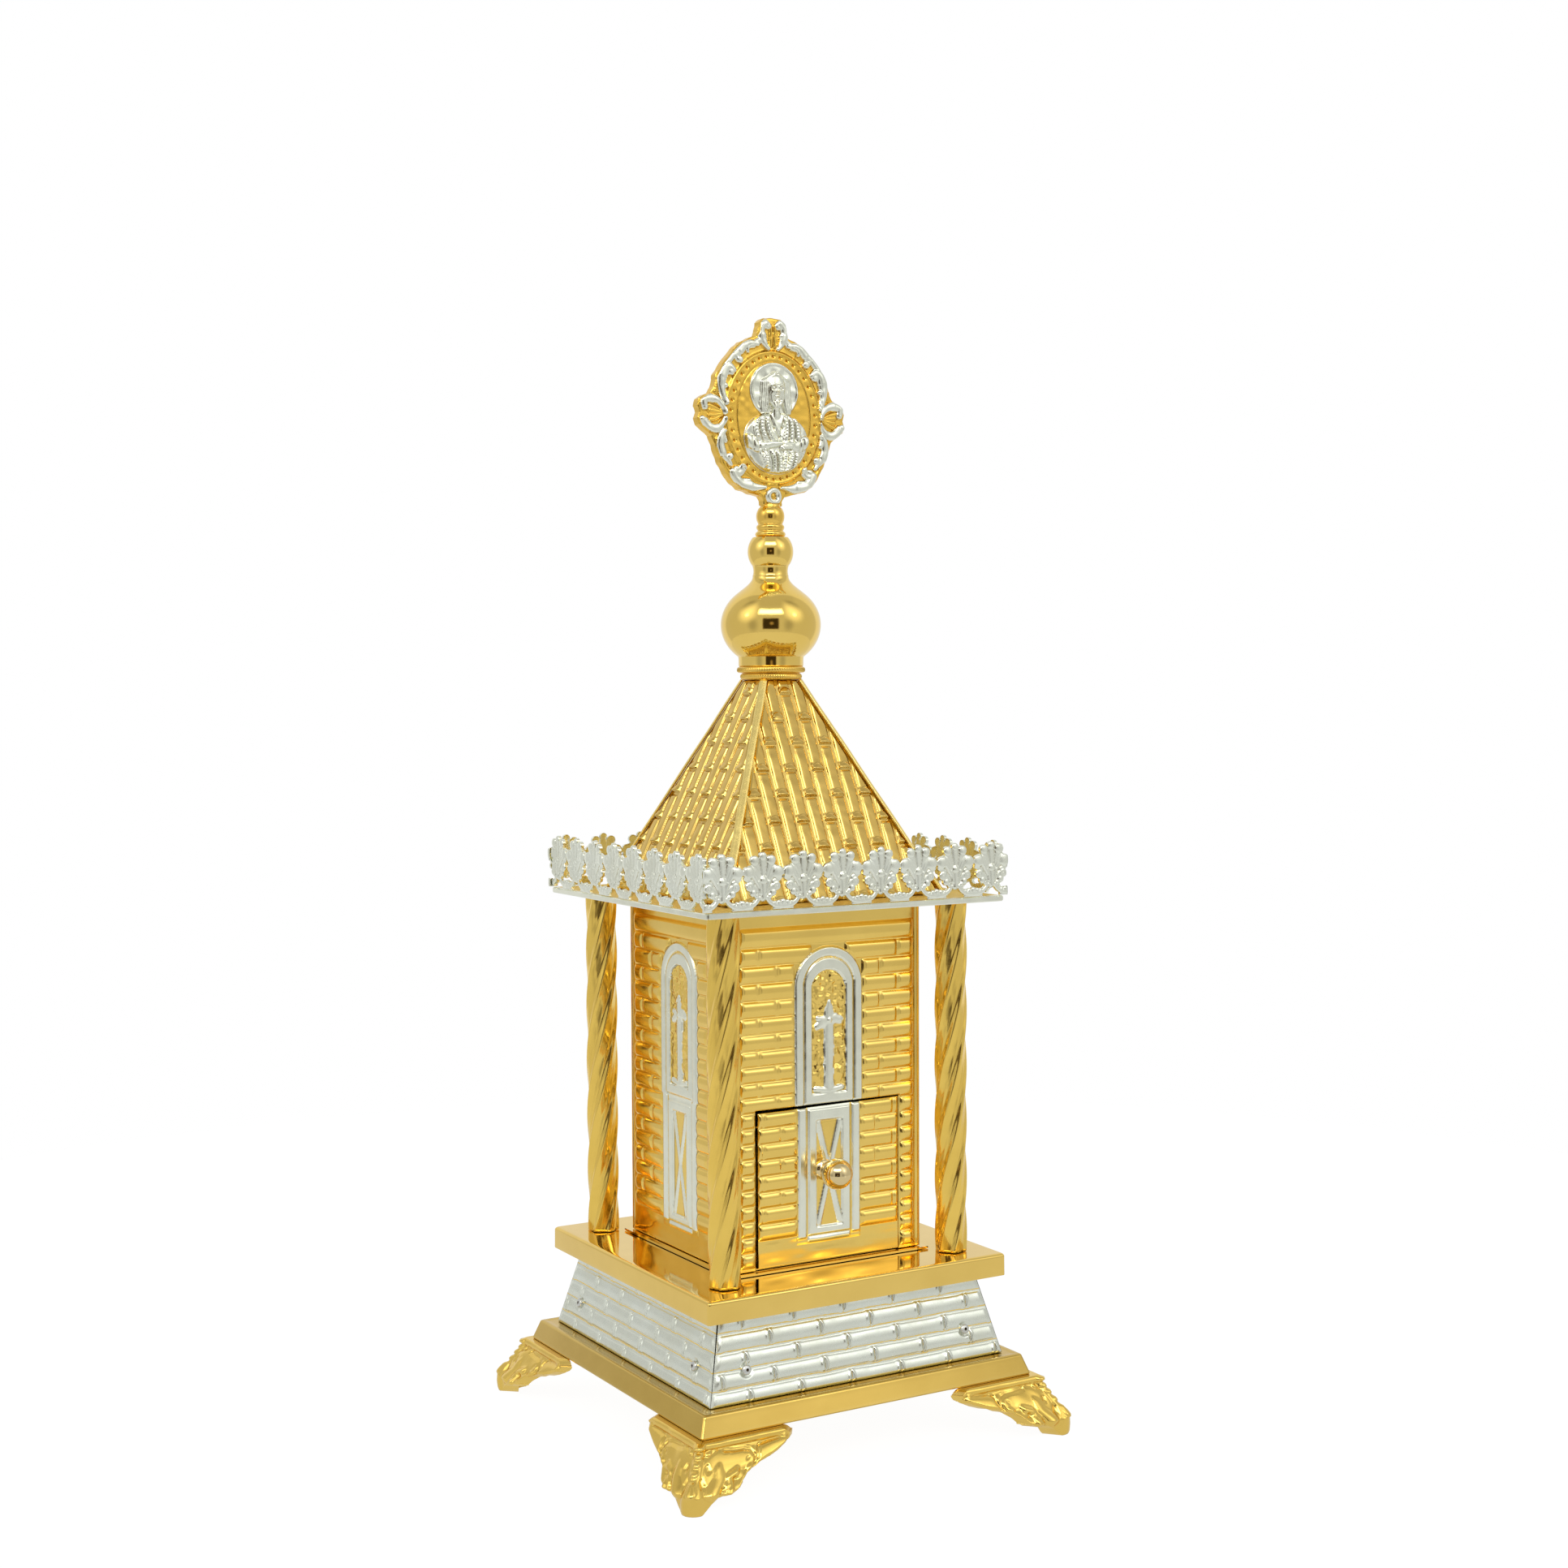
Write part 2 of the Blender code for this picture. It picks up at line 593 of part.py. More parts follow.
def build_gallery():
    outer = ROOF_PLATE_HALF - GALLERY_SETBACK
    centres = [(i - (PALMETTE_COUNT - 1) / 2) * PALMETTE_PITCH for i in range(PALMETTE_COUNT)]
    middles = [(left + right) / 2 for left, right in zip(centres, centres[1:])]
    holes = [[(middle + x, z) for x, z in PIERCING] for middle in middles]
    for k, where in enumerate(SIDES):
        # The left and right strips stop behind the front and rear ones.
        reach = GALLERY_FRONT_REACH if k % 2 == 0 else outer - GALLERY_SHEET - GAP
        top = [(min(max(centre + x, -reach), reach), z) for centre in centres
               for x, z in PALMETTE]
        loop = ([(-reach, 0.0), (-reach, GALLERY_RAIL_HEIGHT)] + top
                + [(reach, GALLERY_RAIL_HEIGHT), (reach, 0.0)])
        strip = outline("gallery_" + where, [loop] + holes, GALLERY_SHEET)
        strip.rotation_euler = (math.pi / 2, 0.0, k * math.pi / 2)
        strip.location = quarter_turn(k, 0.0, -(outer - GALLERY_SHEET / 2),
                                      ROOF_PLATE_Z1 + GAP) * MM
        finish(strip, SILVER, roughness=0.25)


# ---------------------------------------------------------------- roof
def build_roof_panels():
    for k, where in enumerate(SIDES):
        finish(sloped_panel("roof_panel_" + where, k, ROOF_BASE_HALF, ROOF_TOP_HALF,
                            ROOF_Z0, ROOF_Z1, ROOF_MITRE, ROOF_SHEET))


def build_roof_hips():
    """Flat ribbons that cover the roof's four hips."""
    draw_in = ROOF_BASE_HALF - ROOF_TOP_HALF
    along = Vector((draw_in, draw_in, ROOF_Z1 - ROOF_Z0)).normalized()
    across = Vector((1.0, -1.0, 0.0)).normalized()
    outward = across.cross(along)

    def ring(k, half, z):
        points = []
        for s, lift in ((-1, GAP + HIP_SHEET), (1, GAP + HIP_SHEET), (1, GAP), (-1, GAP)):
            p = Vector((-half, -half, z)) + across * (s * HIP_WIDTH / 2) + outward * lift
            p += along * ((z - p.z) / along.z)     # slide along the hip to a level end
            points.append(quarter_turn(k, *p))
        return points

    for k, (where, _, _) in enumerate(CORNERS):
        finish(hexahedron("roof_hip_" + where, ring(k, ROOF_BASE_HALF, ROOF_Z0),
                          ring(k, ROOF_TOP_HALF, ROOF_Z1)))


# ---------------------------------------------------------------- finial
# Profiles: (radius, height above the ground)
COLLAR_PROFILE = [
    (BORE_R, COLLAR_Z1), (15.0, COLLAR_Z1), (15.4, 342.3), (15.4, 340.4),
    (15.0, 340.0), (13.2, 339.8), (13.9, 339.4), (13.9, 337.5), (13.5, COLLAR_Z0),
    (COLLAR_RECESS_R, COLLAR_Z0), (COLLAR_RECESS_R, COLLAR_RECESS_Z),
    (BORE_R, COLLAR_RECESS_Z)]
FERRULE_PROFILE = [
    (BORE_R, FERRULE_Z1), (8.0, FERRULE_Z1), (8.2, 387.7), (7.7, 386.4),
    (8.1, 384.8), (8.1, FERRULE_Z0), (BORE_R, FERRULE_Z0)]
STEM_PROFILE = (
    [(0.0, STEM_Z1), (4.7, STEM_Z1), (4.9, 414.9)]
    + arc(0.0, 410.9, 6.4, 32, -26, 3)
    + [(5.7, 407.3), (6.3, 406.5), (6.3, 405.5), (5.8, 404.7), (6.8, 403.6),
       (6.8, 402.4), (6.2, STEM_Z0), (BORE_R, STEM_Z0), (BORE_R, STEM_BORE_Z1),
       (0.0, STEM_BORE_Z1)])


def onion_outer():
    """Neck flare at the top, elliptical bulb, short straight base."""
    start = math.asin((ONION_JOIN_Z - ONION_MID_Z) / ONION_HALF_HEIGHT)
    end = math.asin((ONION_NECK_Z - ONION_MID_Z) / ONION_HALF_HEIGHT)
    bulb = []
    for i in range(10):
        angle = start + (end - start) * i / 9
        bulb.append((ONION_R * math.cos(angle),
                     ONION_MID_Z + ONION_HALF_HEIGHT * math.sin(angle)))
    flare = []
    for i in range(5):
        t = i / 5
        flare.append(tuple((1 - t) ** 2 * a + 2 * t * (1 - t) * b + t * t * c
                           for a, b, c in zip((ONION_TOP_R, ONION_Z1), ONION_BEND, bulb[0])))
    return flare + bulb + [(ONION_BASE_R, ONION_NECK_Z - 0.6), (ONION_BASE_R, ONION_Z0)]


def build_onion():
    outer = onion_outer()
    # The inner skin follows every second outer point, from the last of the flare down.
    inner = [(r - ONION_SHEET, z) for r, z in outer[4:-1:2]]
    loop = (outer + [(ONION_BASE_R - ONION_SHEET, ONION_Z0)] + inner[::-1]
            + [(ONION_MOUTH_R, ONION_Z1)])
    finish(turned("onion_dome", loop, steps=20, closed=True), roughness=0.08)


def build_ball():
    top, bottom = [math.degrees(math.asin((z - BALL_MID_Z) / BALL_R))
                   for z in (BALL_Z1, BALL_Z0)]
    profile = ([(BORE_R, BALL_Z1)] + arc(0.0, BALL_MID_Z, BALL_R, top, bottom, 7)
               + [(BORE_R, BALL_Z0)])
    finish(turned("finial_ball", profile, steps=20, closed=True), roughness=0.08)


def build_centre_rod():
    """Rod from the finial down through the roof plate, with a nut under the plate."""
    rod = [(0.0, CENTRE_ROD_Z1), (ROD_R, CENTRE_ROD_Z1), (ROD_R, CENTRE_ROD_Z0),
           (0.0, CENTRE_ROD_Z0)]
    finish(turned("centre_rod", rod, steps=10), STEEL, roughness=0.4)
    nut_z1 = ROOF_PLATE_Z0 - GAP
    nut = [(BORE_R, nut_z1), (NUT_R, nut_z1), (NUT_R, NUT_Z0), (BORE_R, NUT_Z0)]
    finish(turned("centre_nut", nut, steps=6, closed=True), STEEL, roughness=0.4)


def build_finial():
    finish(turned("collar", COLLAR_PROFILE, steps=24, closed=True), roughness=0.3)
    build_onion()
    finish(turned("neck_ferrule", FERRULE_PROFILE, steps=20, closed=True), roughness=0.1)
    build_ball()
    finish(turned("finial_stem", STEM_PROFILE, steps=16), DEEP_GOLD, roughness=0.3)
    build_centre_rod()


# ---------------------------------------------------------------- medallion
# Crests: angle from +X in degrees, height in mm, width in degrees
MEDAL_CRESTS = [(90, 9.4, 11), (0, 7.6, 13), (180, 8.0, 13), (270, 2.6, 9)]


def medal_radius(angle):
    """Border of an oval with soft scroll lobes, and a crest at each quarter."""
    oval = 1.0 / math.sqrt((math.cos(angle) / MEDAL_HALF_WIDTH) ** 2
                           + (math.sin(angle) / MEDAL_HALF_HEIGHT) ** 2)
    crest = 0.0
    for at, height, width in MEDAL_CRESTS:
        away = math.degrees(abs((angle - math.radians(at) + math.pi) % math.tau - math.pi))
        crest += height * math.exp(-(away / width) ** 4)
    # The scrolls stop where a crest stands out.
    scroll = MEDAL_SCROLL_DEPTH * math.cos(MEDAL_SCROLLS * angle) if crest < 0.5 else 0.0
    return oval + scroll + crest


def build_medallion():
    loop = []
    for i in range(MEDAL_POINTS):
        angle = math.tau * i / MEDAL_POINTS
        radius = medal_radius(angle)
        loop.append((radius * math.cos(angle), radius * math.sin(angle)))
    medal = outline("medallion", [loop], MEDAL_SHEET)
    medal.rotation_euler = FACING_FRONT
    medal.location = (0.0, 0.0, MEDAL_Z * MM)
    finish(medal, roughness=0.3)


# ---------------------------------------------------------------- assembly
build_feet()
build_plinth()
skirt_frame = build_skirt_frame()
for k, where in enumerate(SIDES):
    build_skirt_panel(k, where, skirt_frame)
mid_plate = build_mid_plate()
build_box()
build_sleeve()
build_drawer()
for where, sx, sy in CORNERS:
    x, y = sx * COLUMN_CENTRE, sy * COLUMN_CENTRE
    build_column(where, x, y)
    build_tie_rod(where, x, y, mid_plate, skirt_frame)
build_roof_plate()
build_gallery()
build_roof_panels()
build_roof_hips()
build_finial()
build_medallion()
bpy.context.view_layer.update()
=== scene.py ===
# A gilt and silvered metal box shaped like a tower: cast feet, slanted skirt, brick-pattern
# walls with a drawer, pierced gallery, tiled roof, onion finial and a relief medallion.
# It stands on z = 0, centred on the z axis. The front faces -y and +x is its right side.
# Shapes are worked out in millimetres and become metres when a mesh is made.
import math

import bpy
import numpy as np
from mathutils import Matrix, Vector


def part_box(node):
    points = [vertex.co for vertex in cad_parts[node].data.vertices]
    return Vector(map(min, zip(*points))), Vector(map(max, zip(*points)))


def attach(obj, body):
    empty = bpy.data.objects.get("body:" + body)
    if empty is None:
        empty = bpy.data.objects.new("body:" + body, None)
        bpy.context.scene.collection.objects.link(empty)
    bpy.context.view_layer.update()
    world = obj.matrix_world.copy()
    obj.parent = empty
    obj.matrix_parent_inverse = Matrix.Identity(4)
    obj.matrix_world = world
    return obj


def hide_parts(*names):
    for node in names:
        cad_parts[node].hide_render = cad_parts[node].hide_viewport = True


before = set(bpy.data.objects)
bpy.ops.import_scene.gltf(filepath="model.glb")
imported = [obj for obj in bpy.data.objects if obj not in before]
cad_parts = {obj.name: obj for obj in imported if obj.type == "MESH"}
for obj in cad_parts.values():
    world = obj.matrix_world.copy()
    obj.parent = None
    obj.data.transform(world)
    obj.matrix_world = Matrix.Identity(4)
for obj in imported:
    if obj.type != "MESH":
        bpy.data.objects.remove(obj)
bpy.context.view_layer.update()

MM = 0.001
SIDES = ["front", "right", "rear", "left"]      # side k is the front turned k quarter turns
CORNERS = ["front_left", "front_right", "rear_right", "rear_left"]
FINE_SIDES = ("front", "left")                  # these get the finer grids


def box_mm(node):
    """Low and high corner of a node's box in millimetres."""
    low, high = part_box(node)
    return np.array(low) / MM, np.array(high) / MM


# ------------------------------------------------------------------ curves and noise
def ease(t):
    return t * t * (3 - 2 * t)


def smooth(value, low, high):
    """Smooth step from 0 at low to 1 at high."""
    return ease(np.clip((value - low) / (high - low), 0, 1))


def dome(distance, radius):
    """Quarter-round rise from 0 at an edge (distance 0) to 1 at radius inside."""
    t = np.clip(1 - distance / radius, 0, 1)
    return np.sqrt(1 - t * t)


def strip(offset, half, edge):
    """Raised flat strip with rounded edges; offset is measured from its middle line."""
    return dome(half - np.abs(offset), edge)


def bell(value, width, power=2):
    return np.exp(-(value / width) ** power)


def value_noise(x, y, cell, seed):
    """Smooth noise from -1 to 1 on a lattice of the given cell size."""
    table = np.random.RandomState(seed).uniform(-1, 1, (64, 64))
    x, y = x / cell + 17.3, y / cell + 9.1
    column, row = np.floor(x).astype(int), np.floor(y).astype(int)
    tx, ty = ease(x - column), ease(y - row)
    column, row = column % 64, row % 64
    next_column, next_row = (column + 1) % 64, (row + 1) % 64
    low = table[row, column] * (1 - tx) + table[row, next_column] * tx
    high = table[next_row, column] * (1 - tx) + table[next_row, next_column] * tx
    return low * (1 - ty) + high * ty


# ------------------------------------------------------------------ meshes
def points(x, y, z):
    return np.stack(np.broadcast_arrays(x, y, z), -1)


def turn(shape, side):
    """Turns points from the front to another side about the z axis."""
    angle = side * math.pi / 2
    cos, sin = round(math.cos(angle)), round(math.sin(angle))
    turned = shape.copy()
    turned[..., 0] = shape[..., 0] * cos - shape[..., 1] * sin
    turned[..., 1] = shape[..., 0] * sin + shape[..., 1] * cos
    return turned


def make_mesh(name, vertices, faces, smooth_flags, material, plate=None):
    """Mesh object from millimetre vertices; plate is the mask of the second plating."""
    mesh = bpy.data.meshes.new(name)
    mesh.from_pydata((vertices * MM).tolist(), [], faces)
    mesh.update()
    mesh.polygons.foreach_set("use_smooth", np.asarray(smooth_flags, dtype=bool))
    if plate is not None:
        layer = mesh.attributes.new("plate", 'FLOAT', 'POINT')
        layer.data.foreach_set("value", np.asarray(plate, dtype=np.float32))
    mesh.materials.append(material)
    obj = bpy.data.objects.new(name, mesh)
    bpy.context.scene.collection.objects.link(obj)
    return obj


def sheet(name, front, back, material, side=0, keep=None, plate=None, flat_back=True):
    """Closed piece from front and back grids (rows, columns, 3), turned to a side.
    keep marks the cells that exist. With flat_back the back is one face."""
    rows, columns = front.shape[:2]
    count = rows * columns
    if keep is None:
        keep = np.ones((rows - 1, columns - 1), dtype=bool)
    index = np.arange(count).reshape(rows, columns)
    low_left, low_right = index[:-1, :-1], index[:-1, 1:]
    up_left, up_right = index[1:, :-1], index[1:, 1:]
    cells = np.stack([low_left, low_right, up_right, up_left], -1)[keep]
    # open edges run so that the outside is on the right
    padded = np.pad(keep, 1)
    edges = np.concatenate([
        np.stack([start, end], -1)[keep & ~neighbour] for start, end, neighbour in (
            (low_left, low_right, padded[:-2, 1:-1]),
            (up_right, up_left, padded[2:, 1:-1]),
            (up_left, low_left, padded[1:-1, :-2]),
            (low_right, up_right, padded[1:-1, 2:]))])
    start, end = edges.T
    rim = np.stack([end, start, start + count, end + count], -1)
    faces = cells.tolist() + rim.tolist()
    flags = [True] * len(cells) + [False] * len(rim)
    used = [cells.ravel(), rim.ravel()]
    if flat_back:
        following = dict(edges.tolist())
        first = int(edges[0, 0])
        loop = [first + count]
        vertex = following[first]
        while vertex != first:
            loop.append(vertex + count)
            vertex = following[vertex]
        faces.append(loop[::-1])
        flags.append(False)
    else:
        rear = (cells + count)[:, ::-1]
        faces += rear.tolist()
        flags += [True] * len(rear)
        used.append(rear.ravel())
    used = np.unique(np.concatenate(used))
    renumber = np.zeros(2 * count, dtype=int)
    renumber[used] = np.arange(len(used))
    faces = [renumber[face].tolist() for face in faces]
    vertices = turn(np.concatenate([front.reshape(-1, 3), back.reshape(-1, 3)]), side)
    if plate is not None:
        plate = np.tile(plate.ravel(), 2)[used]
    return make_mesh(name, vertices[used], faces, flags, material, plate)


def slanted_sheet(name, side, x, y, z, tilt, relief, thickness, back_width, material,
                  plate=None):
    """Sheet that leans inwards by the tilt, with relief along its normal."""
    normal = slant_normal(tilt)
    face = points(x, y, z)
    back = face - normal * thickness
    back[..., 0] *= back_width
    front = face + normal * relief[..., None] * 0.9
    return sheet(name, front, back, material, side, plate=plate)


def slant_normal(tilt):
    return np.array([0, -math.cos(tilt), math.sin(tilt)])


def skin(name, rings, material, smooth_caps=False, sharp=None, plate=None):
    """Skin through closed rings (rows, columns, 3) with end caps."""
    rings = np.asarray(rings, dtype=float)
    index = np.arange(rings.shape[0] * rings.shape[1]).reshape(rings.shape[:2])
    beside = np.roll(index, -1, axis=1)
    faces = np.stack([index[:-1], beside[:-1], beside[1:], index[1:]], -1).reshape(-1, 4).tolist()
    flags = [True] * len(faces) + [smooth_caps] * 2
    faces += [index[0][::-1].tolist(), index[-1].tolist()]
    obj = make_mesh(name, rings.reshape(-1, 3), faces, flags, material, plate)
    if sharp:
        obj.data.set_sharp_from_angle(angle=math.radians(sharp))
    return obj


def lathe(name, profile, segments, material, sharp=None, centre=(0, 0, 0), axis=(0, 0, 1),
          ripple=None):
    """Turned piece. profile: (radius, height) from the bottom up the outer side.
    ripple(angle, height, radius) is added to the radius."""
    profile = np.asarray(profile, dtype=float)
    angle = np.linspace(0, 2 * np.pi, segments, endpoint=False)[None, :]
    radius, z = profile[:, :1], profile[:, 1:]
    spread = np.repeat(radius, segments, axis=1)
    if ripple is not None:
        spread = spread + ripple(angle, z, radius)
    rings = points(spread * np.cos(angle), spread * np.sin(angle), z)
    rotation = np.array(Vector(axis).to_track_quat('Z', 'Y').to_matrix())
    rings = rings @ rotation.T + np.asarray(centre, dtype=float)
    return skin(name, rings, material, smooth_caps=True, sharp=sharp)


def arc(centre_z, radius, start, end, count):
    """Profile points of an arc about a centre on the axis; angles in degrees."""
    return [(radius * math.cos(t), centre_z + radius * math.sin(t))
            for t in np.radians(np.linspace(start, end, count + 1))]


def lifted(profile, z):
    return [(radius, z + height) for radius, height in profile]


def square_sweep(name, profile, corner_segments, material, plate=None):
    """Rounded-square piece. profile: (half width, height, corner radius) from the bottom up
    the outer side; plate: one mask value for each profile row."""
    rings = []
    for half, z, corner in profile:
        ring = []
        for sign_x, sign_y, start in ((1, 1, 0), (-1, 1, 90), (-1, -1, 180), (1, -1, 270)):
            for i in range(corner_segments + 1):
                angle = math.radians(start + 90.0 * i / corner_segments)
                ring.append((sign_x * (half - corner) + corner * math.cos(angle),
                             sign_y * (half - corner) + corner * math.sin(angle), z))
        rings.append(ring)
    plate = np.repeat(plate or [0.0] * len(profile), len(rings[0]))
    return skin(name, rings, material, sharp=32, plate=plate)


def place(obj, node, body="housing"):
    """Parents a finished piece to its body and hides the CAD node it replaces."""
    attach(obj, body)
    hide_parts(node)


# ------------------------------------------------------------------ strokes
class Field:
    """Height field built from rounded strokes. margin is positive inside the strokes and is
    about a distance in mm."""

    def __init__(self, x, y):
        self.x, self.y = x, y
        self.height = np.zeros_like(x)
        self.margin = np.full_like(x, -1e3)

    def stroke(self, path, height, base=0.0, power=0.5, add=False, dish=0.0):
        """path: (x, y, radius) stations. base is a flat step and height the bulge on it;
        a lower power makes the bulge squarer, dish hollows its middle."""
        for (x0, y0, r0), (x1, y1, r1) in zip(path, path[1:]):
            reach = max(r0, r1) + 1.5
            near = ((self.x > min(x0, x1) - reach) & (self.x < max(x0, x1) + reach) &
                    (self.y > min(y0, y1) - reach) & (self.y < max(y0, y1) + reach))
            x, y = self.x[near], self.y[near]
            dx, dy = x1 - x0, y1 - y0
            t = np.clip(((x - x0) * dx + (y - y0) * dy) / (dx * dx + dy * dy + 1e-9), 0, 1)
            distance = np.hypot(x - x0 - t * dx, y - y0 - t * dy)
            radius = r0 + (r1 - r0) * t
            self.margin[near] = np.maximum(self.margin[near], radius - distance)
            bulge = np.clip(1 - (distance / radius) ** 2, 0, 1)
            bulge = bulge * (1 - dish * np.clip(1 - (distance / (0.62 * radius)) ** 2, 0, 1))
            value = base * (distance < radius) + height * bulge ** power
            old = self.height[near]
            self.height[near] = old + value if add else np.maximum(old, value)

    def draw(self, table, add=False):
        """Strokes from rows of (path, height, base, power); the last two may be left out."""
        for path, *shape in table:
            self.stroke(path, *shape, add=add)

    def include(self, margin):
        self.margin = np.maximum(self.margin, margin)


def dot(x, y, radius):
    """Path of a round spot."""
    return [(x, y, radius), (x + 0.001, y, radius)]


def spiral(centre, radii, angles, count, widths):
    """Path of a scroll; radii, angles (degrees) and stroke radii run from first to last."""
    path = []
    for i in range(count + 1):
        t = i / count
        radius, angle, width = (a + (b - a) * t for a, b in (radii, angles, widths))
        angle = math.radians(angle)
        path.append((centre[0] + radius * math.cos(angle),
                     centre[1] + radius * math.sin(angle), width))
    return path


def curve(start, bend, end, width0, width1, count=8):
    """Path along a quadratic curve whose stroke radius runs from width0 to width1."""
    path = []
    for i in range(count + 1):
        t = i / count
        x, y = ((1 - t) ** 2 * a + 2 * t * (1 - t) * b + t * t * c
                for a, b, c in zip(start, bend, end))
        path.append((x, y, width0 + (width1 - width0) * t))
    return path


def snap(x, y, margin, step):
    """Cells that touch the inside, with outside corners pulled onto the outline."""
    inside = margin > 0
    keep = inside[:-1, :-1] | inside[:-1, 1:] | inside[1:, 1:] | inside[1:, :-1]
    slope_y, slope_x = np.gradient(margin, step, step)
    pull = np.where(inside, 0.0, -margin / (slope_x * slope_x + slope_y * slope_y + 1e-6))
    limit = 1.3 * step
    near = ~inside & (margin > -3 * step)
    return (np.where(near, x + np.clip(pull * slope_x, -limit, limit), x),
            np.where(near, y + np.clip(pull * slope_y, -limit, limit), y), keep)


# ------------------------------------------------------------------ shader helpers
def add_node(tree, kind, inputs={}, **settings):
    """New shader node; inputs are linked when they are sockets and set when values."""
    node = tree.nodes.new("ShaderNode" + kind)
    for key, value in settings.items():
        setattr(node, key, value)
    for key, value in inputs.items():
        if isinstance(value, bpy.types.NodeSocket):
            tree.links.new(value, node.inputs[key])
        else:
            node.inputs[key].default_value = value
    return node


def map_range(tree, value, low, high, start=0.0, end=1.0, kind='LINEAR'):
    inputs = {"From Min": low, "From Max": high, "To Min": start, "To Max": end, "Value": value}
    return add_node(tree, "MapRange", inputs, interpolation_type=kind).outputs["Result"]


def mix_colour(tree, factor, first, second, blend='MIX'):
    node = add_node(tree, "Mix", data_type='RGBA', blend_type=blend)
    for slot, value in ((0, factor), (6, first), (7, second)):
        if isinstance(value, bpy.types.NodeSocket):
            tree.links.new(value, node.inputs[slot])
        else:
            node.inputs[slot].default_value = value
    return node.outputs[2]


def mix_float(tree, factor, first, second):
    inputs = {0: factor, 2: first, 3: second}
    return add_node(tree, "Mix", inputs, data_type='FLOAT').outputs[0]


def scaled(colour, red, green, blue):
    """RGBA colour with each channel scaled and held to 1."""
    return (*(min(1.0, c * k) for c, k in zip(colour, (red, green, blue))), 1)


# ------------------------------------------------------------------ materials
GOLD = (0.93, 0.655, 0.162)
# gold darkened as painted shade, for the plinth
GOLD_PAINTED_SHADE = (0.67, 0.455, 0.105)
GOLD_CAST = (0.93, 0.60, 0.115)
SILVER = (0.88, 0.90, 0.76)
STEEL = (0.55, 0.54, 0.50)


def metal(name, colour, rough, spread=0.3, peel=0.2, peel_size=1.0, wave=0.0, wave_size=9.0,
          tint=0.05, plate=None, plate_rough=0.2, brushed=None, hollow_shade=0.0):
    """Plated metal. spread: how far the roughness strays. peel: strength of the fine bump;
    wave: depth of the slow bump in mm; sizes in mm. tint: slow drift of the colour.
    plate: second colour where the plate attribute passes one half, with an uneven edge.
    brushed: stretch of the brush-mark noise. hollow_shade: painted shade that darkens the hollows."""
    material = bpy.data.materials.new(name)
    material.use_nodes = True
    tree = material.node_tree
    surface = tree.nodes["Principled BSDF"]
    surface.inputs["Metallic"].default_value = 1.0
    position = add_node(tree, "TexCoord").outputs["Object"]

    def noise(size, detail=3.0, roughness=0.55, vector=position):
        inputs = {"Scale": 1000.0 / size, "Detail": detail, "Roughness": roughness,
                  "Vector": vector}
        return add_node(tree, "TexNoise", inputs).outputs["Fac"]

    def bump(height, strength, depth, normal):
        inputs = {"Strength": strength, "Distance": depth * MM, "Height": height}
        if normal is not None:
            inputs["Normal"] = normal
        return add_node(tree, "Bump", inputs).outputs["Normal"]

    drift = map_range(tree, noise(22.0), 0.3, 0.7)
    base = mix_colour(tree, drift, scaled(colour, 1 - tint, 1 - tint, 1 - tint),
                      scaled(colour, 1 + tint * 0.6, 1 + tint, 1 + 2.2 * tint))
    roughness = map_range(tree, noise(4.0, 5.0, 0.65), 0.3, 0.75,
                          rough * (1 - spread), rough * (1 + spread))
    if plate is not None:
        mask = add_node(tree, "Attribute", attribute_name="plate").outputs["Fac"]
        ragged = map_range(tree, noise(1.6), 0.0, 1.0, -0.22, 0.22)
        total = add_node(tree, "Math", {0: mask, 1: ragged}, operation='ADD').outputs[0]
        mask = map_range(tree, total, 0.42, 0.58)
        second = mix_colour(tree, map_range(tree, noise(6.0), 0.3, 0.7),
                            scaled(plate, 0.95, 0.95, 0.95), scaled(plate, 1.03, 1.03, 1.03))
        base = mix_colour(tree, mask, base, second)
        second_rough = map_range(tree, noise(3.0, 4.0), 0.3, 0.7,
                                 plate_rough * 0.75, plate_rough * 1.25)
        roughness = mix_float(tree, mask, roughness, second_rough)
    # convex rims paler; hollows darkened toward amber as painted shade
    pointiness = add_node(tree, "NewGeometry").outputs["Pointiness"]
    rim = map_range(tree, pointiness, 0.52, 0.60, 0.0, 0.35)
    base = mix_colour(tree, rim, base, (0.25, 0.22, 0.12, 1), 'SCREEN')
    hollow = map_range(tree, pointiness, 0.40, 0.48, hollow_shade, 0.0)
    base = mix_colour(tree, hollow, base, (0.62, 0.40, 0.16, 1), 'MULTIPLY')
    normal = None
    if wave:
        normal = bump(noise(wave_size, 1.5, 0.4), 1.0, wave, normal)
    if brushed:
        stretched = add_node(tree, "Mapping", {"Scale": brushed, "Vector": position})
        marks = noise(1.0, 3.0, 0.6, stretched.outputs["Vector"])
        normal = bump(marks, 0.5, 0.02, normal)
    normal = bump(noise(peel_size, 3.0, 0.5), peel, 0.03, normal)
    for key, socket in (("Base Color", base), ("Roughness", roughness), ("Normal", normal)):
        tree.links.new(socket, surface.inputs[key])
    return material


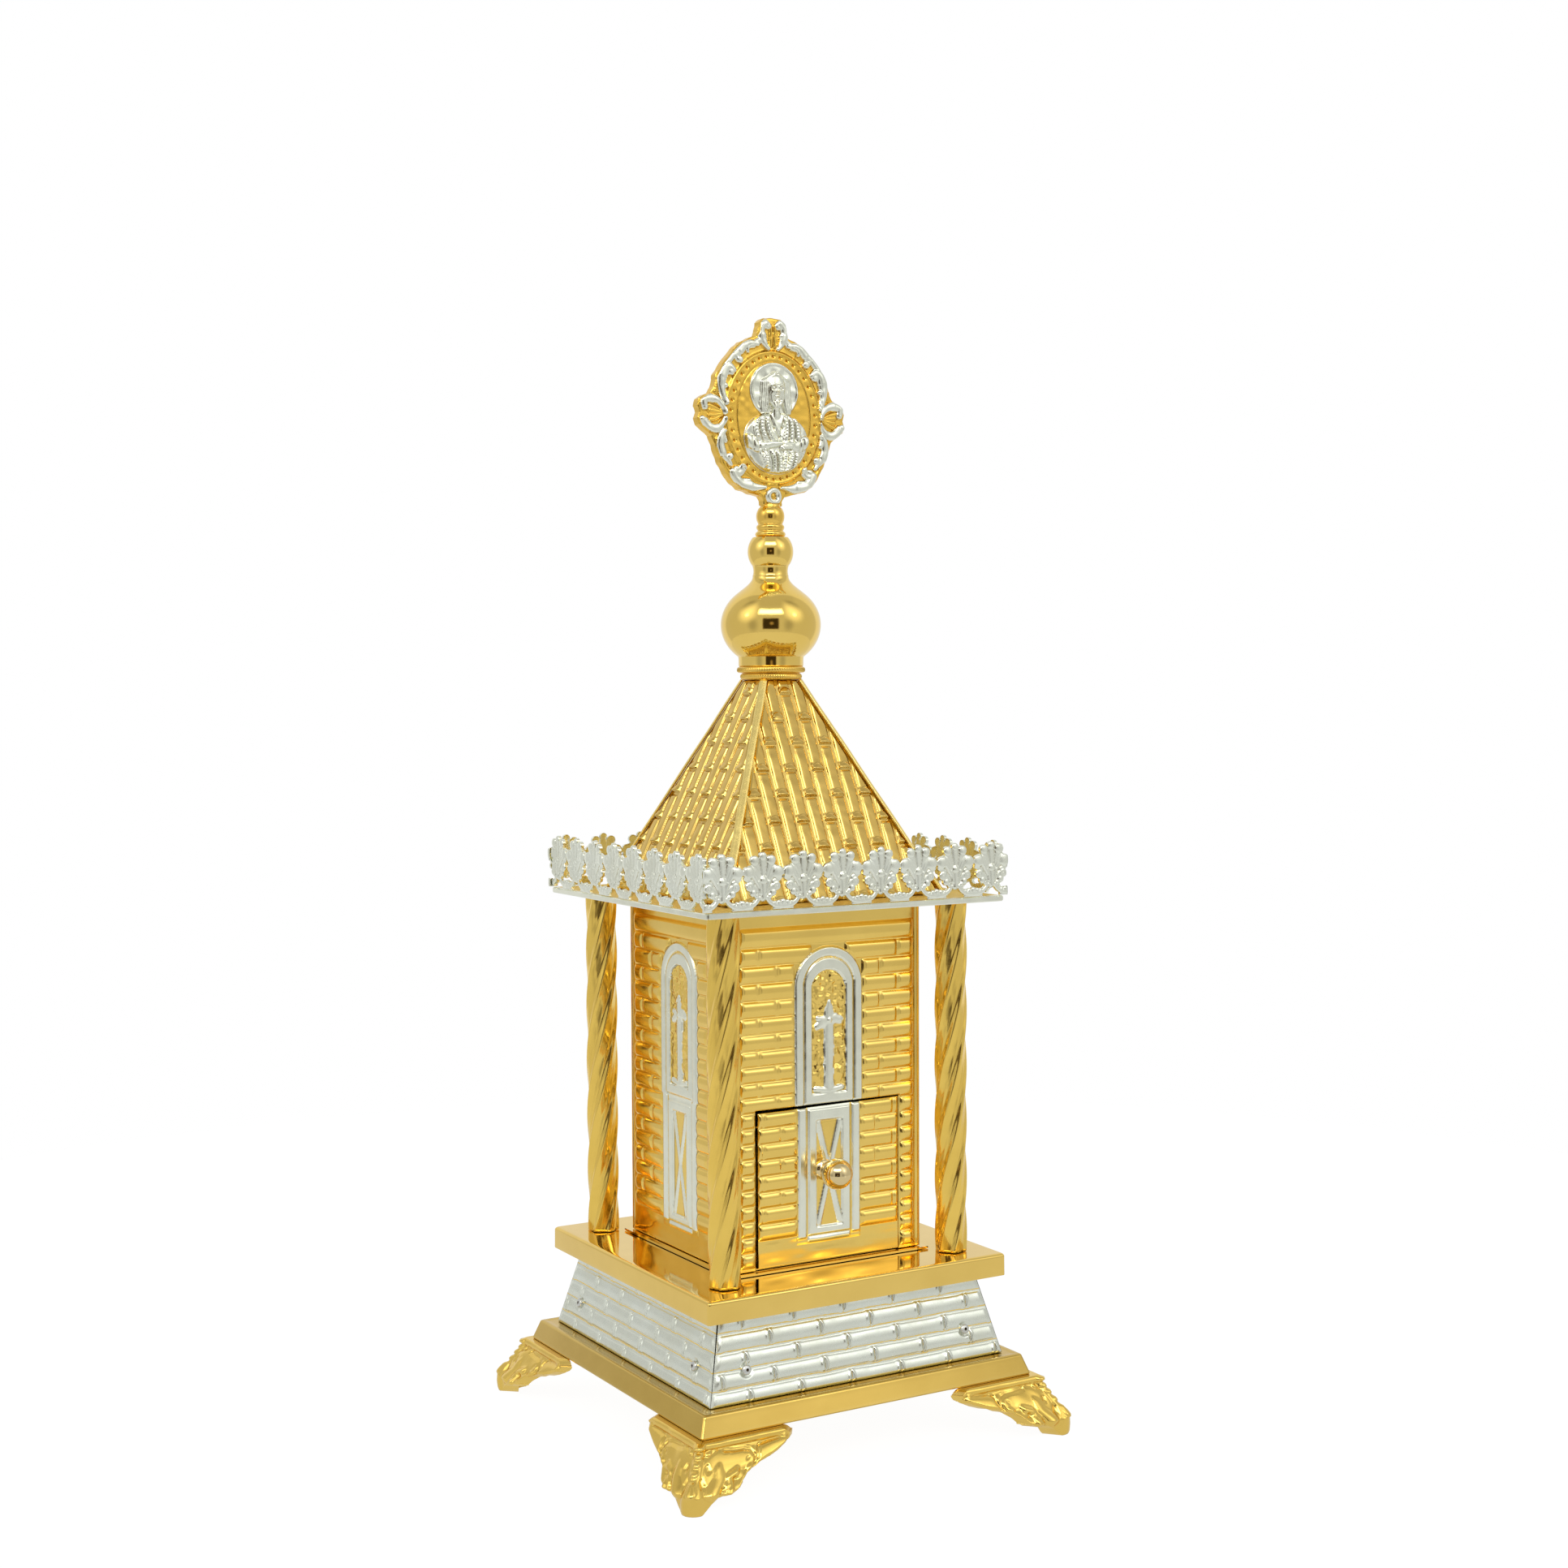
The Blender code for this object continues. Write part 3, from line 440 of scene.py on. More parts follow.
WALL_GILT = metal("wall_gilt", GOLD, rough=0.15, peel=0.05, peel_size=1.5, wave=0.03,
                  wave_size=11.0, tint=0.04, plate=SILVER, plate_rough=0.22, hollow_shade=0.35)
# the roof's gold is darkened as painted shade
ROOF_GILT = metal("roof_gilt", (0.75, 0.51, 0.13), rough=0.12, peel=0.12, peel_size=1.6,
                  wave=0.03, wave_size=8.0, hollow_shade=0.5)
HIP_GILT = metal("hip_gilt", (1.0, 0.76, 0.25), rough=0.27, peel=1.3, peel_size=2.0,
                 wave=0.12, wave_size=4.0)
COLUMN_GILT = metal("column_gilt", (0.95, 0.65, 0.135), rough=0.19, peel=0.08, peel_size=2.0,
                    brushed=(1.0, 1.0, 0.10))
# the plate's gold is slightly darkened as painted shade
PLATE_GILT = metal("plate_gilt", (0.89, 0.62, 0.16), rough=0.07, spread=0.5, peel=0.04,
                   peel_size=1.6, tint=0.04)
# the plinth's gold is darkened as painted shade
PLINTH_GILT = metal("plinth_gilt", GOLD_PAINTED_SHADE, rough=0.19, peel=0.10, peel_size=1.2,
                    wave=0.05, wave_size=26.0)
TURNED_GILT = metal("turned_gilt", GOLD, rough=0.06, spread=0.5, peel=0.03, peel_size=2.0,
                    tint=0.03, brushed=(0.4, 0.4, 3.0))
CHAMPAGNE = metal("knob_champagne", (0.80, 0.64, 0.33), rough=0.09, spread=0.4, peel=0.03,
                  peel_size=2.0, tint=0.03)
KNURLED_GILT = metal("knurled_gilt", GOLD_CAST, rough=0.24, peel_size=0.5, hollow_shade=0.7)
CAST_GILT = metal("cast_gilt", (0.88, 0.60, 0.13), rough=0.19, peel=0.12, wave=0.05,
                  wave_size=5.0, tint=0.06, hollow_shade=0.8)
STEM_GILT = metal("stem_gilt", GOLD_CAST, rough=0.15, wave=0.05, wave_size=4.0, tint=0.06,
                  hollow_shade=0.7)
MEDALLION_GILT = metal("medallion_gilt", (0.92, 0.57, 0.09), rough=0.27, peel=0.22,
                       peel_size=0.8, wave=0.03, wave_size=3.0, tint=0.08, plate=SILVER,
                       hollow_shade=0.9)
# the skirt's silver is darkened as painted shade
SKIRT_SILVER = metal("skirt_silvered", (0.775, 0.80, 0.685), rough=0.29, peel=0.08,
                     peel_size=1.5, wave=0.04, tint=0.04, plate=GOLD, hollow_shade=0.35)
GALLERY_SILVER = metal("gallery_silvered", SILVER, rough=0.25, peel=0.06, peel_size=0.8,
                       tint=0.04, hollow_shade=0.6)
ROOF_PLATE_GILT = metal("roof_plate_gilt", (1.0, 0.72, 0.2), rough=0.5, spread=0.4,
                        peel=0.15, peel_size=1.6, wave=0.04, wave_size=18.0, plate=SILVER)
SCREW_SILVER = metal("screw_silvered", (0.66, 0.66, 0.6), rough=0.4, peel_size=0.6,
                     tint=0.06, hollow_shade=0.6)
# painted shade: near-black colour for the inside of the screw sockets
SOCKET_PAINTED_SHADE = metal("socket_painted_shade", (0.10, 0.07, 0.04), rough=0.6, spread=0.2, peel_size=0.5,
                    tint=0.06)
BARE_STEEL = metal("bare_steel", STEEL, rough=0.42, peel=0.4, peel_size=0.9, tint=0.08,
                   brushed=(0.2, 0.2, 4.0))
TRAY_GILT = metal("tray_gilt", GOLD, rough=0.3, peel=0.3, wave=0.03, wave_size=14.0,
                  tint=0.06)
EDGE_GILT = metal("sheet_edge_gilt", GOLD, rough=0.22, wave=0.03, wave_size=10.0)

# ------------------------------------------------------------------ pressed walls
wall_low, wall_high = box_mm("front_wall")
BOX_HALF = wall_high[0]
WALL_LOW, WALL_TOP = wall_low[2], wall_high[2]
drawer_low, drawer_high = box_mm("drawer_front")
DRAWER_LOW, DRAWER_TOP = drawer_low[2], drawer_high[2]
# the opening in the front wall
OPENING_LEFT, OPENING_RIGHT, OPENING_TOP = -37.3, 36.8, DRAWER_TOP + 0.8
FRIEZE_TOP, FRIEZE_LOW = 229.4, 221.0
BRICK_END = 44.4                # outer end of the bricks
HALF_JOINT = 0.16
BRICK_HEIGHT = 1.25
BRICK_SPLITS = (35.9, 26.7)     # joint places in alternating courses
UPPER_COURSES, LOW_COURSES = 10, 8
COURSE_TOPS = [FRIEZE_LOW]
for i in range(UPPER_COURSES):
    COURSE_TOPS.append(COURSE_TOPS[-1] - (7.78 - 0.142 * i))
WINDOW_LOW = COURSE_TOPS[-1]    # the window stands here, above the door
BRICKS_LOW = 93.4
LOW_PITCH = (WINDOW_LOW - BRICKS_LOW) / LOW_COURSES
DOOR_LOW = 92.8
PLAIN_TOP = 93.0                # the plain band lies below this


def bricks(x, z, rects, height, seed):
    """Pillow bricks (x0, x1, z0, z1), each standing a little differently."""
    relief = np.zeros_like(x)
    random = np.random.RandomState(seed)
    for x0, x1, z0, z1 in rects:
        scale = random.uniform(0.97, 1.03)
        lean = random.uniform(-0.03, 0.03)
        shift = random.uniform(-0.18, 0.18, 4)
        x0, x1 = x0 - 0.19, x1 + 0.19
        z0, z1 = z0 + shift[2] * 0.2, z1 + shift[3] * 0.2
        inside = (x > x0) & (x < x1) & (z > z0) & (z < z1)
        brick_x, brick_z = x[inside], z[inside]
        end_gap = np.minimum(brick_x - x0, x1 - brick_x)
        up = 2 * (brick_z - z0) / (z1 - z0) - 1
        along = 2 * (brick_x - x0) / (x1 - x0) - 1
        crown = 0.58 + 0.42 * (1 - (up - 0.15) ** 2)
        ends = 1 - 0.36 * bell(np.clip(end_gap - 0.1, 0, None), 0.95)
        # the top edge is rounder than the bottom edge
        edges = dome(z1 - brick_z, 2.1875) * dome(brick_z - z0, 1.085)
        value = height * scale * ends * edges * crown * (1 + lean * along)
        relief[inside] = np.maximum(relief[inside], value)
    return relief


def course(low, top, spans):
    """Rects of one course: (near, far) spans from the middle line, on both sides of it."""
    return [(*sorted((sign * near, sign * far)), low, top)
            for sign in (-1, 1) for near, far in spans]


def upper_rects():
    rects = [(-BRICK_END, BRICK_END, FRIEZE_LOW + 0.4, FRIEZE_TOP)]
    for i in range(UPPER_COURSES):
        inner = 9.0 if i == 0 else 17.9
        split = BRICK_SPLITS[i % 2]
        rects += course(COURSE_TOPS[i + 1] + HALF_JOINT, COURSE_TOPS[i] - HALF_JOINT,
                        [(split + HALF_JOINT, BRICK_END), (inner, split - HALF_JOINT)])
    return rects


def low_rects(inner, splits, outer):
    """Courses beside the door; the lowest one has no joint."""
    rects = []
    for i in range(LOW_COURSES):
        spans = [(inner, outer)]
        if i < LOW_COURSES - 1:
            split = splits[i % 2]
            spans = [(inner, split - HALF_JOINT), (split + HALF_JOINT, outer)]
        rects += course(WINDOW_LOW - (i + 1) * LOW_PITCH + HALF_JOINT,
                        WINDOW_LOW - i * LOW_PITCH - HALF_JOINT, spans)
    return rects


def beside_drawer_rects():
    rects = []
    pitch = (WINDOW_LOW - WALL_LOW - 1.2) / 10
    for i in range(10):
        top = WINDOW_LOW - i * pitch - 0.3
        rects += course(top - pitch + 0.6, top, [(38.0, BRICK_END)])
    return rects


# cross in the window: path, height, base
CROSS = [
    ([(0.3, 155.6, 2.9), (0.0, 166, 2.4), (0.2, 176, 2.7), (0.1, 186, 2.7), (0.0, 192.0, 2.2),
      (0.3, 195.2, 1.0)], 0.72, 0.15),
    ([(-5.6, 184.6, 1.7), (-3.0, 186.4, 2.6), (0, 187.2, 2.6), (3.0, 187.6, 2.5),
      (5.4, 187.0, 1.9)], 0.72, 0.15),
    ([(-5.4, 188.2, 1.2), (-2.6, 187.6, 1.4)], 0.65, 0.15),
    (dot(0.2, 187.2, 1.1), 0.45, 1.0),
    ([(-6.5, 157.0, 1.4), (0, 155.9, 1.6), (6.5, 157.0, 1.4)], 0.8, 0.1),
]


def window(x, z, relief, plate):
    """Arched window: two nested raised frames round a pebbled field with a cross."""
    outer_half, outer_spring = 17.3, 202.4
    inner_half, inner_spring, inner_low = 9.0, 200.6, 155.0
    across = np.abs(x)
    arch = outer_half - np.where(z > outer_spring, np.hypot(x, z - outer_spring), across)
    inner = inner_half - np.where(z > inner_spring, np.hypot(x, z - inner_spring), across)
    inner = np.minimum(inner, z - inner_low)
    zone = (arch > -0.3) & (z > WINDOW_LOW - 0.1)
    relief = np.where(zone, 0.25 * smooth(arch, -0.3, 0.6), relief)
    outer_frame = strip(arch - 2.1, 2.1, 0.7) * (z > WINDOW_LOW)
    inner_frame = dome(np.minimum(arch - 4.75, 0.4 - inner), 0.7) * 0.9 * (z > WINDOW_LOW + 0.3)
    inner_frame = inner_frame * smooth(z, WINDOW_LOW + 0.2, WINDOW_LOW + 1.8)
    frames = np.maximum(outer_frame, inner_frame)
    relief = np.where(zone, np.maximum(relief, frames), relief)
    recess = (inner > 0) & (z > WINDOW_LOW)
    pebble = 0.55 * value_noise(x, z, 2.3, 3) + 0.26 * value_noise(x + 50, z, 1.3, 4)
    relief = np.where(recess, -0.25 + (0.35 + pebble) * smooth(inner, 0.1, 0.9), relief)
    cross = Field(x, z)
    cross.draw(CROSS)
    relief = np.where((cross.margin > 0) & recess, np.maximum(relief, cross.height), relief)
    # silver on the frames and the cross, gold in the seam and the recess
    plate = np.where(zone, smooth(arch, -0.35, 0.25), plate)
    seam_offset, seam_half = np.abs(arch - 4.45), 0.42
    seam = zone & (z > WINDOW_LOW + 1.5) & (seam_offset < seam_half)
    plate = np.where(seam, 0.12 + 0.8 * (seam_offset / seam_half) ** 2, plate)
    silvered = np.maximum(1 - smooth(inner, 0.0, 0.5), smooth(cross.margin, -0.35, 0.2))
    return relief, np.where(recess, silvered, plate)


def door(x, z, relief, plate, top, strip_out):
    """Door below the window: outer strips, frame, sill and two crossed straps."""
    strip_in = 11.9
    frame_out, frame_in = 10.8, 6.5
    recess_top, recess_low = 143.2, 96.4
    across = np.abs(x)
    zone = (across < strip_out + 0.4) & (z < top) & (z > DOOR_LOW - 3.2)
    relief = np.where(zone, 0.15, relief)
    strips = strip(across - (strip_in + strip_out) / 2, (strip_out - strip_in) / 2, 0.7) * 0.95
    strips = strips * (z > DOOR_LOW - 0.5)
    inside_frame = np.minimum(frame_out - across, np.minimum(top - 1.9 - z, z - DOOR_LOW))
    outside_recess = np.maximum(across - frame_in, np.maximum(z - recess_top, recess_low - z))
    frame_relief = dome(np.minimum(inside_frame, outside_recess), 0.7) * 0.95
    raised = np.maximum(strips, frame_relief)
    relief = np.where(zone, np.maximum(relief, raised), relief)
    recess = (outside_recess < 0) & zone
    relief = np.where(recess, -0.2 + 0.25 * smooth(-outside_recess, 0, 0.8), relief)
    straps = Field(x, z)
    for sign in (-1, 1):
        reach = sign * (frame_in - 1.0)
        straps.stroke([(reach, recess_top - 1.2, 1.45), (0, (recess_top + recess_low) / 2, 1.45),
                       (-reach, recess_low + 1.2, 1.45)], height=0.5, base=0.12)
    relief = np.where(recess & (straps.margin > 0), np.maximum(relief, straps.height), relief)
    sill = strip(z - (DOOR_LOW - 1.7), 1.0, 0.7) * 0.6 * (across < frame_out)
    relief = np.where(zone, np.maximum(relief, sill), relief)
    sill_line = DOOR_LOW - 0.6
    plate = np.where(zone & (z > sill_line), smooth(strip_out - across, -0.3, 0.3), plate)
    plate = np.where(zone & (z <= sill_line), smooth(sill, 0.1, 0.4), plate)
    silvered = np.maximum(1 - smooth(-outside_recess, 0, 0.5), smooth(straps.margin, -0.3, 0.2))
    plate = np.where(recess, silvered, plate)
    seam = (across > frame_out) & (across < strip_in) & zone
    return relief, np.where(seam, 0.35, plate)


def wall_surface(x, z, full, seed):
    """Relief and plating of a wall; one that is not full leaves room for the drawer."""
    relief = bricks(x, z, upper_rects(), BRICK_HEIGHT, seed)
    if full:
        rects, height = low_rects(16.4, BRICK_SPLITS, BRICK_END), BRICK_HEIGHT
    else:
        rects, height = beside_drawer_rects(), 1.3
    relief = np.maximum(relief, bricks(x, z, rects, height, seed + 9))
    relief, plate = window(x, z, relief, np.zeros_like(x))
    if full:
        relief, plate = door(x, z, relief, plate, WINDOW_LOW, strip_out=16.1)
    # slow waves of the sheet, stronger in the plain bands
    low_band = smooth(PLAIN_TOP - z, 0, 3.0)
    bands = smooth(z, FRIEZE_TOP, FRIEZE_TOP + 2.0) + low_band
    waves = (value_noise(x, z, 9.0, 21 + seed) * 0.05
             + value_noise(x * 0.5, z, 5.0, 31 + seed) * 0.12 * bands
             + value_noise(x * 0.35, z * 1.5, 4.5, 41 + seed) * 0.14 * low_band)
    end_gap = np.minimum(WALL_TOP - z, z - WALL_LOW)
    side_gap = BOX_HALF - np.abs(x)
    fade = smooth(np.minimum(side_gap, end_gap), 0.2, 1.5)
    fold = 0.35 * bell(side_gap - 1.3, 0.55)
    return (relief + waves) * fade + fold * smooth(end_gap, 0, 1), plate


def wall(side, where):
    step = 0.44 if where in FINE_SIDES else 0.62
    full = where != "front"
    xs = np.linspace(-BOX_HALF, BOX_HALF, int(round(2 * BOX_HALF / step)) + 1)
    zs = np.linspace(WALL_LOW, WALL_TOP, int(round((WALL_TOP - WALL_LOW) / step)) + 1)
    keep = None
    if not full:
        # grid lines move onto the edges of the drawer opening
        for line, edge in ((xs, OPENING_LEFT), (xs, OPENING_RIGHT), (zs, OPENING_TOP)):
            line[np.argmin(abs(line - edge))] = edge
        mid_x, mid_z = (xs[:-1] + xs[1:]) / 2, (zs[:-1] + zs[1:]) / 2
        keep = ~((mid_x[None, :] > OPENING_LEFT) & (mid_x[None, :] < OPENING_RIGHT) &
                 (mid_z[:, None] < OPENING_TOP))
    x, z = np.meshgrid(xs, zs)
    relief, plate = wall_surface(x, z, full, seed=1 + side)
    if not full:
        gap = np.maximum(OPENING_LEFT - x, x - OPENING_RIGHT)
        gap = np.where(z > OPENING_TOP, np.maximum(gap, z - OPENING_TOP), gap)
        relief = relief * smooth(gap, -0.1, 0.5) + 0.02
    if where in ("left", "right"):
        # the side walls stop behind the front and rear ones
        x = x * ((BOX_HALF - 1.1) / BOX_HALF)
    obj = sheet("pressed_wall_" + where, points(x, -BOX_HALF - relief, z),
                points(x, -BOX_HALF + 0.9, z), WALL_GILT, side, keep, plate)
    place(obj, where + "_wall")


def drawer_front():
    step = 0.42
    left, right = drawer_low[0] + 0.3, drawer_high[0] + 0.34
    x, z = np.meshgrid(np.linspace(left, right, int((right - left) / step)),
                       np.linspace(DRAWER_LOW, DRAWER_TOP, int((DRAWER_TOP - DRAWER_LOW) / step)))
    relief = bricks(x, z, low_rects(16.6, (33.6, 24.4), 35.9), height=1.15, seed=77)
    relief, plate = door(x, z, relief, np.zeros_like(x), DRAWER_TOP + 1.0, strip_out=16.0)
    relief += value_noise(x, z, 9.0, 61) * 0.05
    relief += (value_noise(x * 0.4, z, 5.0, 62) * 0.2
               + value_noise(x * 0.22, z, 2.6, 63) * 0.10) * smooth(PLAIN_TOP - z, 0, 2.0)
    gap = np.minimum(np.minimum(x - left, right - x), np.minimum(z - DRAWER_LOW, DRAWER_TOP - z))
    relief = relief * smooth(gap, 0.1, 0.8)
    # the top edge runs slightly uphill to the right
    z = z + smooth(z, 140, DRAWER_TOP) * 0.45 * (x - 10) / 46
    obj = sheet("pressed_drawer_front", points(x, -BOX_HALF - relief, z),
                points(x, -BOX_HALF + 0.95, z), WALL_GILT, plate=plate)
    place(obj, "drawer_front", body="drawer")


for k, where in enumerate(SIDES):
    wall(k, where)
drawer_front()

# ------------------------------------------------------------------ skirt panels
skirt_low, skirt_high = box_mm("skirt_panel_front")
SKIRT_LOW, SKIRT_TOP = skirt_low[2], skirt_high[2]
SKIRT_HALF = -skirt_low[1]                              # half width at the bottom
SKIRT_TOP_HALF = SKIRT_HALF - (skirt_high[1] - skirt_low[1]) + 1.03
SKIRT_SLOPE = (SKIRT_HALF - SKIRT_TOP_HALF) / (SKIRT_TOP - SKIRT_LOW)
SKIRT_TILT = math.atan(SKIRT_SLOPE)
screw_low, screw_high = box_mm("skirt_screw_front_b")
SCREW_X = (screw_low[0] + screw_high[0]) / 2
SCREW_Z = (screw_low[2] + screw_high[2]) / 2 - 0.35
LOG_LINES = [69.9, 62.2, 54.8, 47.3, 39.9, 32.4]        # heights between the logs
LOG_LENGTH = 25.35
LOG_SHIFTS = (-5.1, 7.6)                                # joint places in alternating rows


def skirt_half(z):
    return SKIRT_HALF - SKIRT_SLOPE * (z - SKIRT_LOW)


def skirt_surface(x, z, seed):
    """Half-round logs of bamboo with leaf-shaped nodes; returns relief and gilt mask."""
    relief = np.zeros_like(x)
    gilt = np.zeros_like(x)
    for i, (top, low) in enumerate(zip(LOG_LINES, LOG_LINES[1:])):
        along = np.mod(x - LOG_SHIFTS[i % 2] + LOG_LENGTH / 2, LOG_LENGTH) - LOG_LENGTH / 2
        flare = bell(np.abs(along) - 1.1, 1.3)
        sway = 0.15 * value_noise(x, np.full_like(z, 7.0 * i), 14.0, seed + i)
        middle, half = (top + low) / 2 + 0.15, 2.95 + 0.35 * flare + sway
        up = (z - middle) / half
        swell = np.clip(1 - up * up, 0, 1)
        bow = along - 0.35 * swell
        collar = 0.5 * bell(np.abs(along) - 1.25 * swell, 0.55)
        crease = -0.5 * bell(bow, 0.4)
        value = 0.28 + 0.54 * swell + (collar + crease) * swell ** 0.5
        relief = np.maximum(relief, value * smooth(1 - np.abs(up), 0, 0.12))
        # gold in the furrow under each row and in the creases
        gilt = np.maximum(gilt, 0.78 * bell(z - middle + half + 0.35, 0.34))
        gilt = np.maximum(gilt, np.where(np.abs(up) < 1, 0.55 * bell(bow, 0.32), 0))
    return relief, gilt


def skirt_panel(side, where):
    columns, rows = (540, 96) if where in FINE_SIDES else (340, 84)
    across, up = np.meshgrid(np.linspace(-1, 1, columns), np.linspace(0, 1, rows))
    z = SKIRT_LOW - 0.3 + (SKIRT_TOP - SKIRT_LOW + 0.3) * up
    half = skirt_half(z) - 0.12 - 0.35 * up
    x = across * half
    relief, gilt = skirt_surface(x, z, seed=40 + 7 * side)
    relief += value_noise(x, z, 8.0, 80 + side) * 0.08
    gap = np.minimum((1 - np.abs(across)) * half * 0.35,
                     np.minimum(z - SKIRT_LOW + 0.3, SKIRT_TOP - z))
    relief = relief * smooth(gap, 0.0, 0.9)
    for sign in (-1, 1):
        # flat seats for the screws
        relief = relief * smooth(np.hypot(x - sign * SCREW_X, z - SCREW_Z), 2.2, 3.8)
    obj = slanted_sheet("pressed_skirt_" + where, side, x, -skirt_half(z), z, SKIRT_TILT,
                        relief, thickness=0.9, back_width=0.985, material=SKIRT_SILVER,
                        plate=gilt)
    place(obj, "skirt_panel_" + where)


def skirt_screw(side, where, label, sign):
    """Button-head screw; the faces of its socket take a dark material as painted shade."""
    normal = slant_normal(SKIRT_TILT)
    centre = np.array([sign * SCREW_X, -skirt_half(SCREW_Z), SCREW_Z]) + 0.25 * normal
    centre, normal = turn(centre, side), turn(normal, side)
    profile = [(0.0, -0.4), (2.1, -0.4), (2.25, 0.25), (2.1, 0.7)]
    profile += [(2.1 * math.cos(a), 0.7 + 0.7 * math.sin(a)) for a in np.radians([15, 30, 45, 60])]
    profile += [(0.72, 1.38), (0.64, 1.28), (0.6, 0.75), (0.0, 0.7)]
    obj = lathe("screw_head_%s_%s" % (where, label), profile, 28, SCREW_SILVER, sharp=40,
                centre=tuple(centre), axis=tuple(normal))
    # the socket faces take the painted shade material
    obj.data.materials.append(SOCKET_PAINTED_SHADE)
    for face in obj.data.polygons:
        offset = np.array(face.center) / MM - centre
        height = float(offset @ normal)
        if np.linalg.norm(offset - height * normal) < 0.63 and height > 0.4:
            face.material_index = 1
    place(obj, "skirt_screw_%s_%s" % (where, label))


for k, where in enumerate(SIDES):
    skirt_panel(k, where)
    for label, sign in (("a", -1), ("b", 1)):
        skirt_screw(k, where, label, sign)

# ------------------------------------------------------------------ roof
roof_low, roof_high = box_mm("roof_panel_front")
ROOF_LOW, ROOF_TOP = roof_low[2], roof_high[2]
ROOF_HALF, ROOF_TOP_HALF = -roof_low[1], 9.2
ROOF_RUN, ROOF_RISE = ROOF_HALF - ROOF_TOP_HALF, ROOF_TOP - ROOF_LOW
ROOF_SLOPE = ROOF_RUN / ROOF_RISE
TILE_WIDTH = 7.15
TILE_STEP = 11.22               # height between the lips of neighbouring columns
FIRST_LIP = 329.9               # lip height of the middle column's top tile


def roof_half(z):
    return ROOF_HALF - ROOF_SLOPE * (z - ROOF_LOW)


def roof_surface(x, z, lean):
    """Columns of tiles with half-moon lips; every second column is half a tile lower."""
    column = np.round(x / TILE_WIDTH)
    across = x - column * TILE_WIDTH
    odd = (np.abs(column) % 2) > 0.5
    phase = np.where(odd, FIRST_LIP - TILE_STEP, FIRST_LIP)
    length = 2 * TILE_STEP
    jog = 0.35 * np.sin(column * 2.7 + np.floor((z - phase) / length) * 1.9)
    up = np.mod(z - phase + jog, length)            # 0 at a lip, growing upwards
    half = (2.72 + 0.45 * np.sqrt(np.clip(1 - ((up - 1.2) / 1.9) ** 2, 0, 1))
            - 0.25 * smooth(up, length - 5.0, length - 0.6))
    crown = np.clip(1 - (across / half) ** 2, 0, 1)
    lift = 1.0 - 0.2 * smooth(up, length - 7.0, length - 1.0) + 0.05 * crown + lean * across
    ends = dome(up - 0.15, 0.5) * np.maximum(smooth(length - up, 0.3, 1.5), 0.1)
    moon = 3.1 * np.sqrt(np.clip(1 - (across / 3.2) ** 2, 0, 1)) - up
    lip = (1.15 * np.clip(moon / 3.1, 0, 1) + 0.28 * smooth(moon, -0.1, 0.4)) * (up > 0.1)
    return dome(half - np.abs(across), 0.95) * lift * ends + lip * smooth(up, 0.05, 0.5)


def roof_panel(side, where):
    columns, rows = (300, 250) if where in FINE_SIDES else (180, 200)
    across, up = np.meshgrid(np.linspace(-1, 1, columns), np.linspace(0, 1, rows))
    z = ROOF_LOW + ROOF_RISE * up
    half = roof_half(z) - 0.2
    x = across * half
    relief = roof_surface(x, z, lean=-0.085 if where == "front" else 0.0)
    relief += value_noise(x, z, 7.0, 90 + side) * 0.06 + value_noise(x, z, 2.6, 95 + side) * 0.035
    relief = relief * smooth((1 - np.abs(across)) * half, 0.9, 2.9)
    relief = relief * smooth(np.minimum(z - ROOF_LOW, ROOF_TOP - z), 0.0, 1.0)
    obj = slanted_sheet("tiled_roof_" + where, side, x, -roof_half(z), z,
                        math.atan(ROOF_SLOPE), relief, thickness=0.8, back_width=0.97,
                        material=ROOF_GILT)
    place(obj, "roof_panel_" + where)


# cross-section of the hip ribbon: share of the half width, height
HIP_SECTION = [(-1, -0.4), (1, -0.4), (1.14, 0.0), (1.02, 0.4), (0.66, 0.72), (0, 0.9),
               (-0.66, 0.72), (-1.02, 0.4), (-1.14, 0.0)]


def hip_ribbon(k):
    """Slightly crowned strip along a roof corner, with an uneven run."""
    across = np.array([1.0, -1.0, 0]) / math.sqrt(2)
    run = np.array([ROOF_RUN, ROOF_RUN, ROOF_RISE])
    outward = np.cross(across, run / np.linalg.norm(run))
    rings = []
    for i in range(91):
        t = i / 90
        z = ROOF_LOW + (ROOF_TOP - 0.2 - ROOF_LOW) * t
        half = roof_half(z)
        width = 1.6 + 0.10 * math.sin(7 * t + k) + 0.05 * math.sin(31 * t + 2 * k)
        lift = 0.45 + 0.06 * math.sin(19 * t + k)
        centre = (np.array([-half, -half, z]) + outward * lift
                  + across * 0.12 * math.sin(9 * t + 1.3 * k))
        rings.append([centre + across * x * width + outward * y for x, y in HIP_SECTION])
    obj = skin("hip_ribbon_" + CORNERS[k], turn(np.array(rings), k), HIP_GILT)
    place(obj, "roof_hip_" + CORNERS[k])


for k, where in enumerate(SIDES):
    roof_panel(k, where)
    hip_ribbon(k)


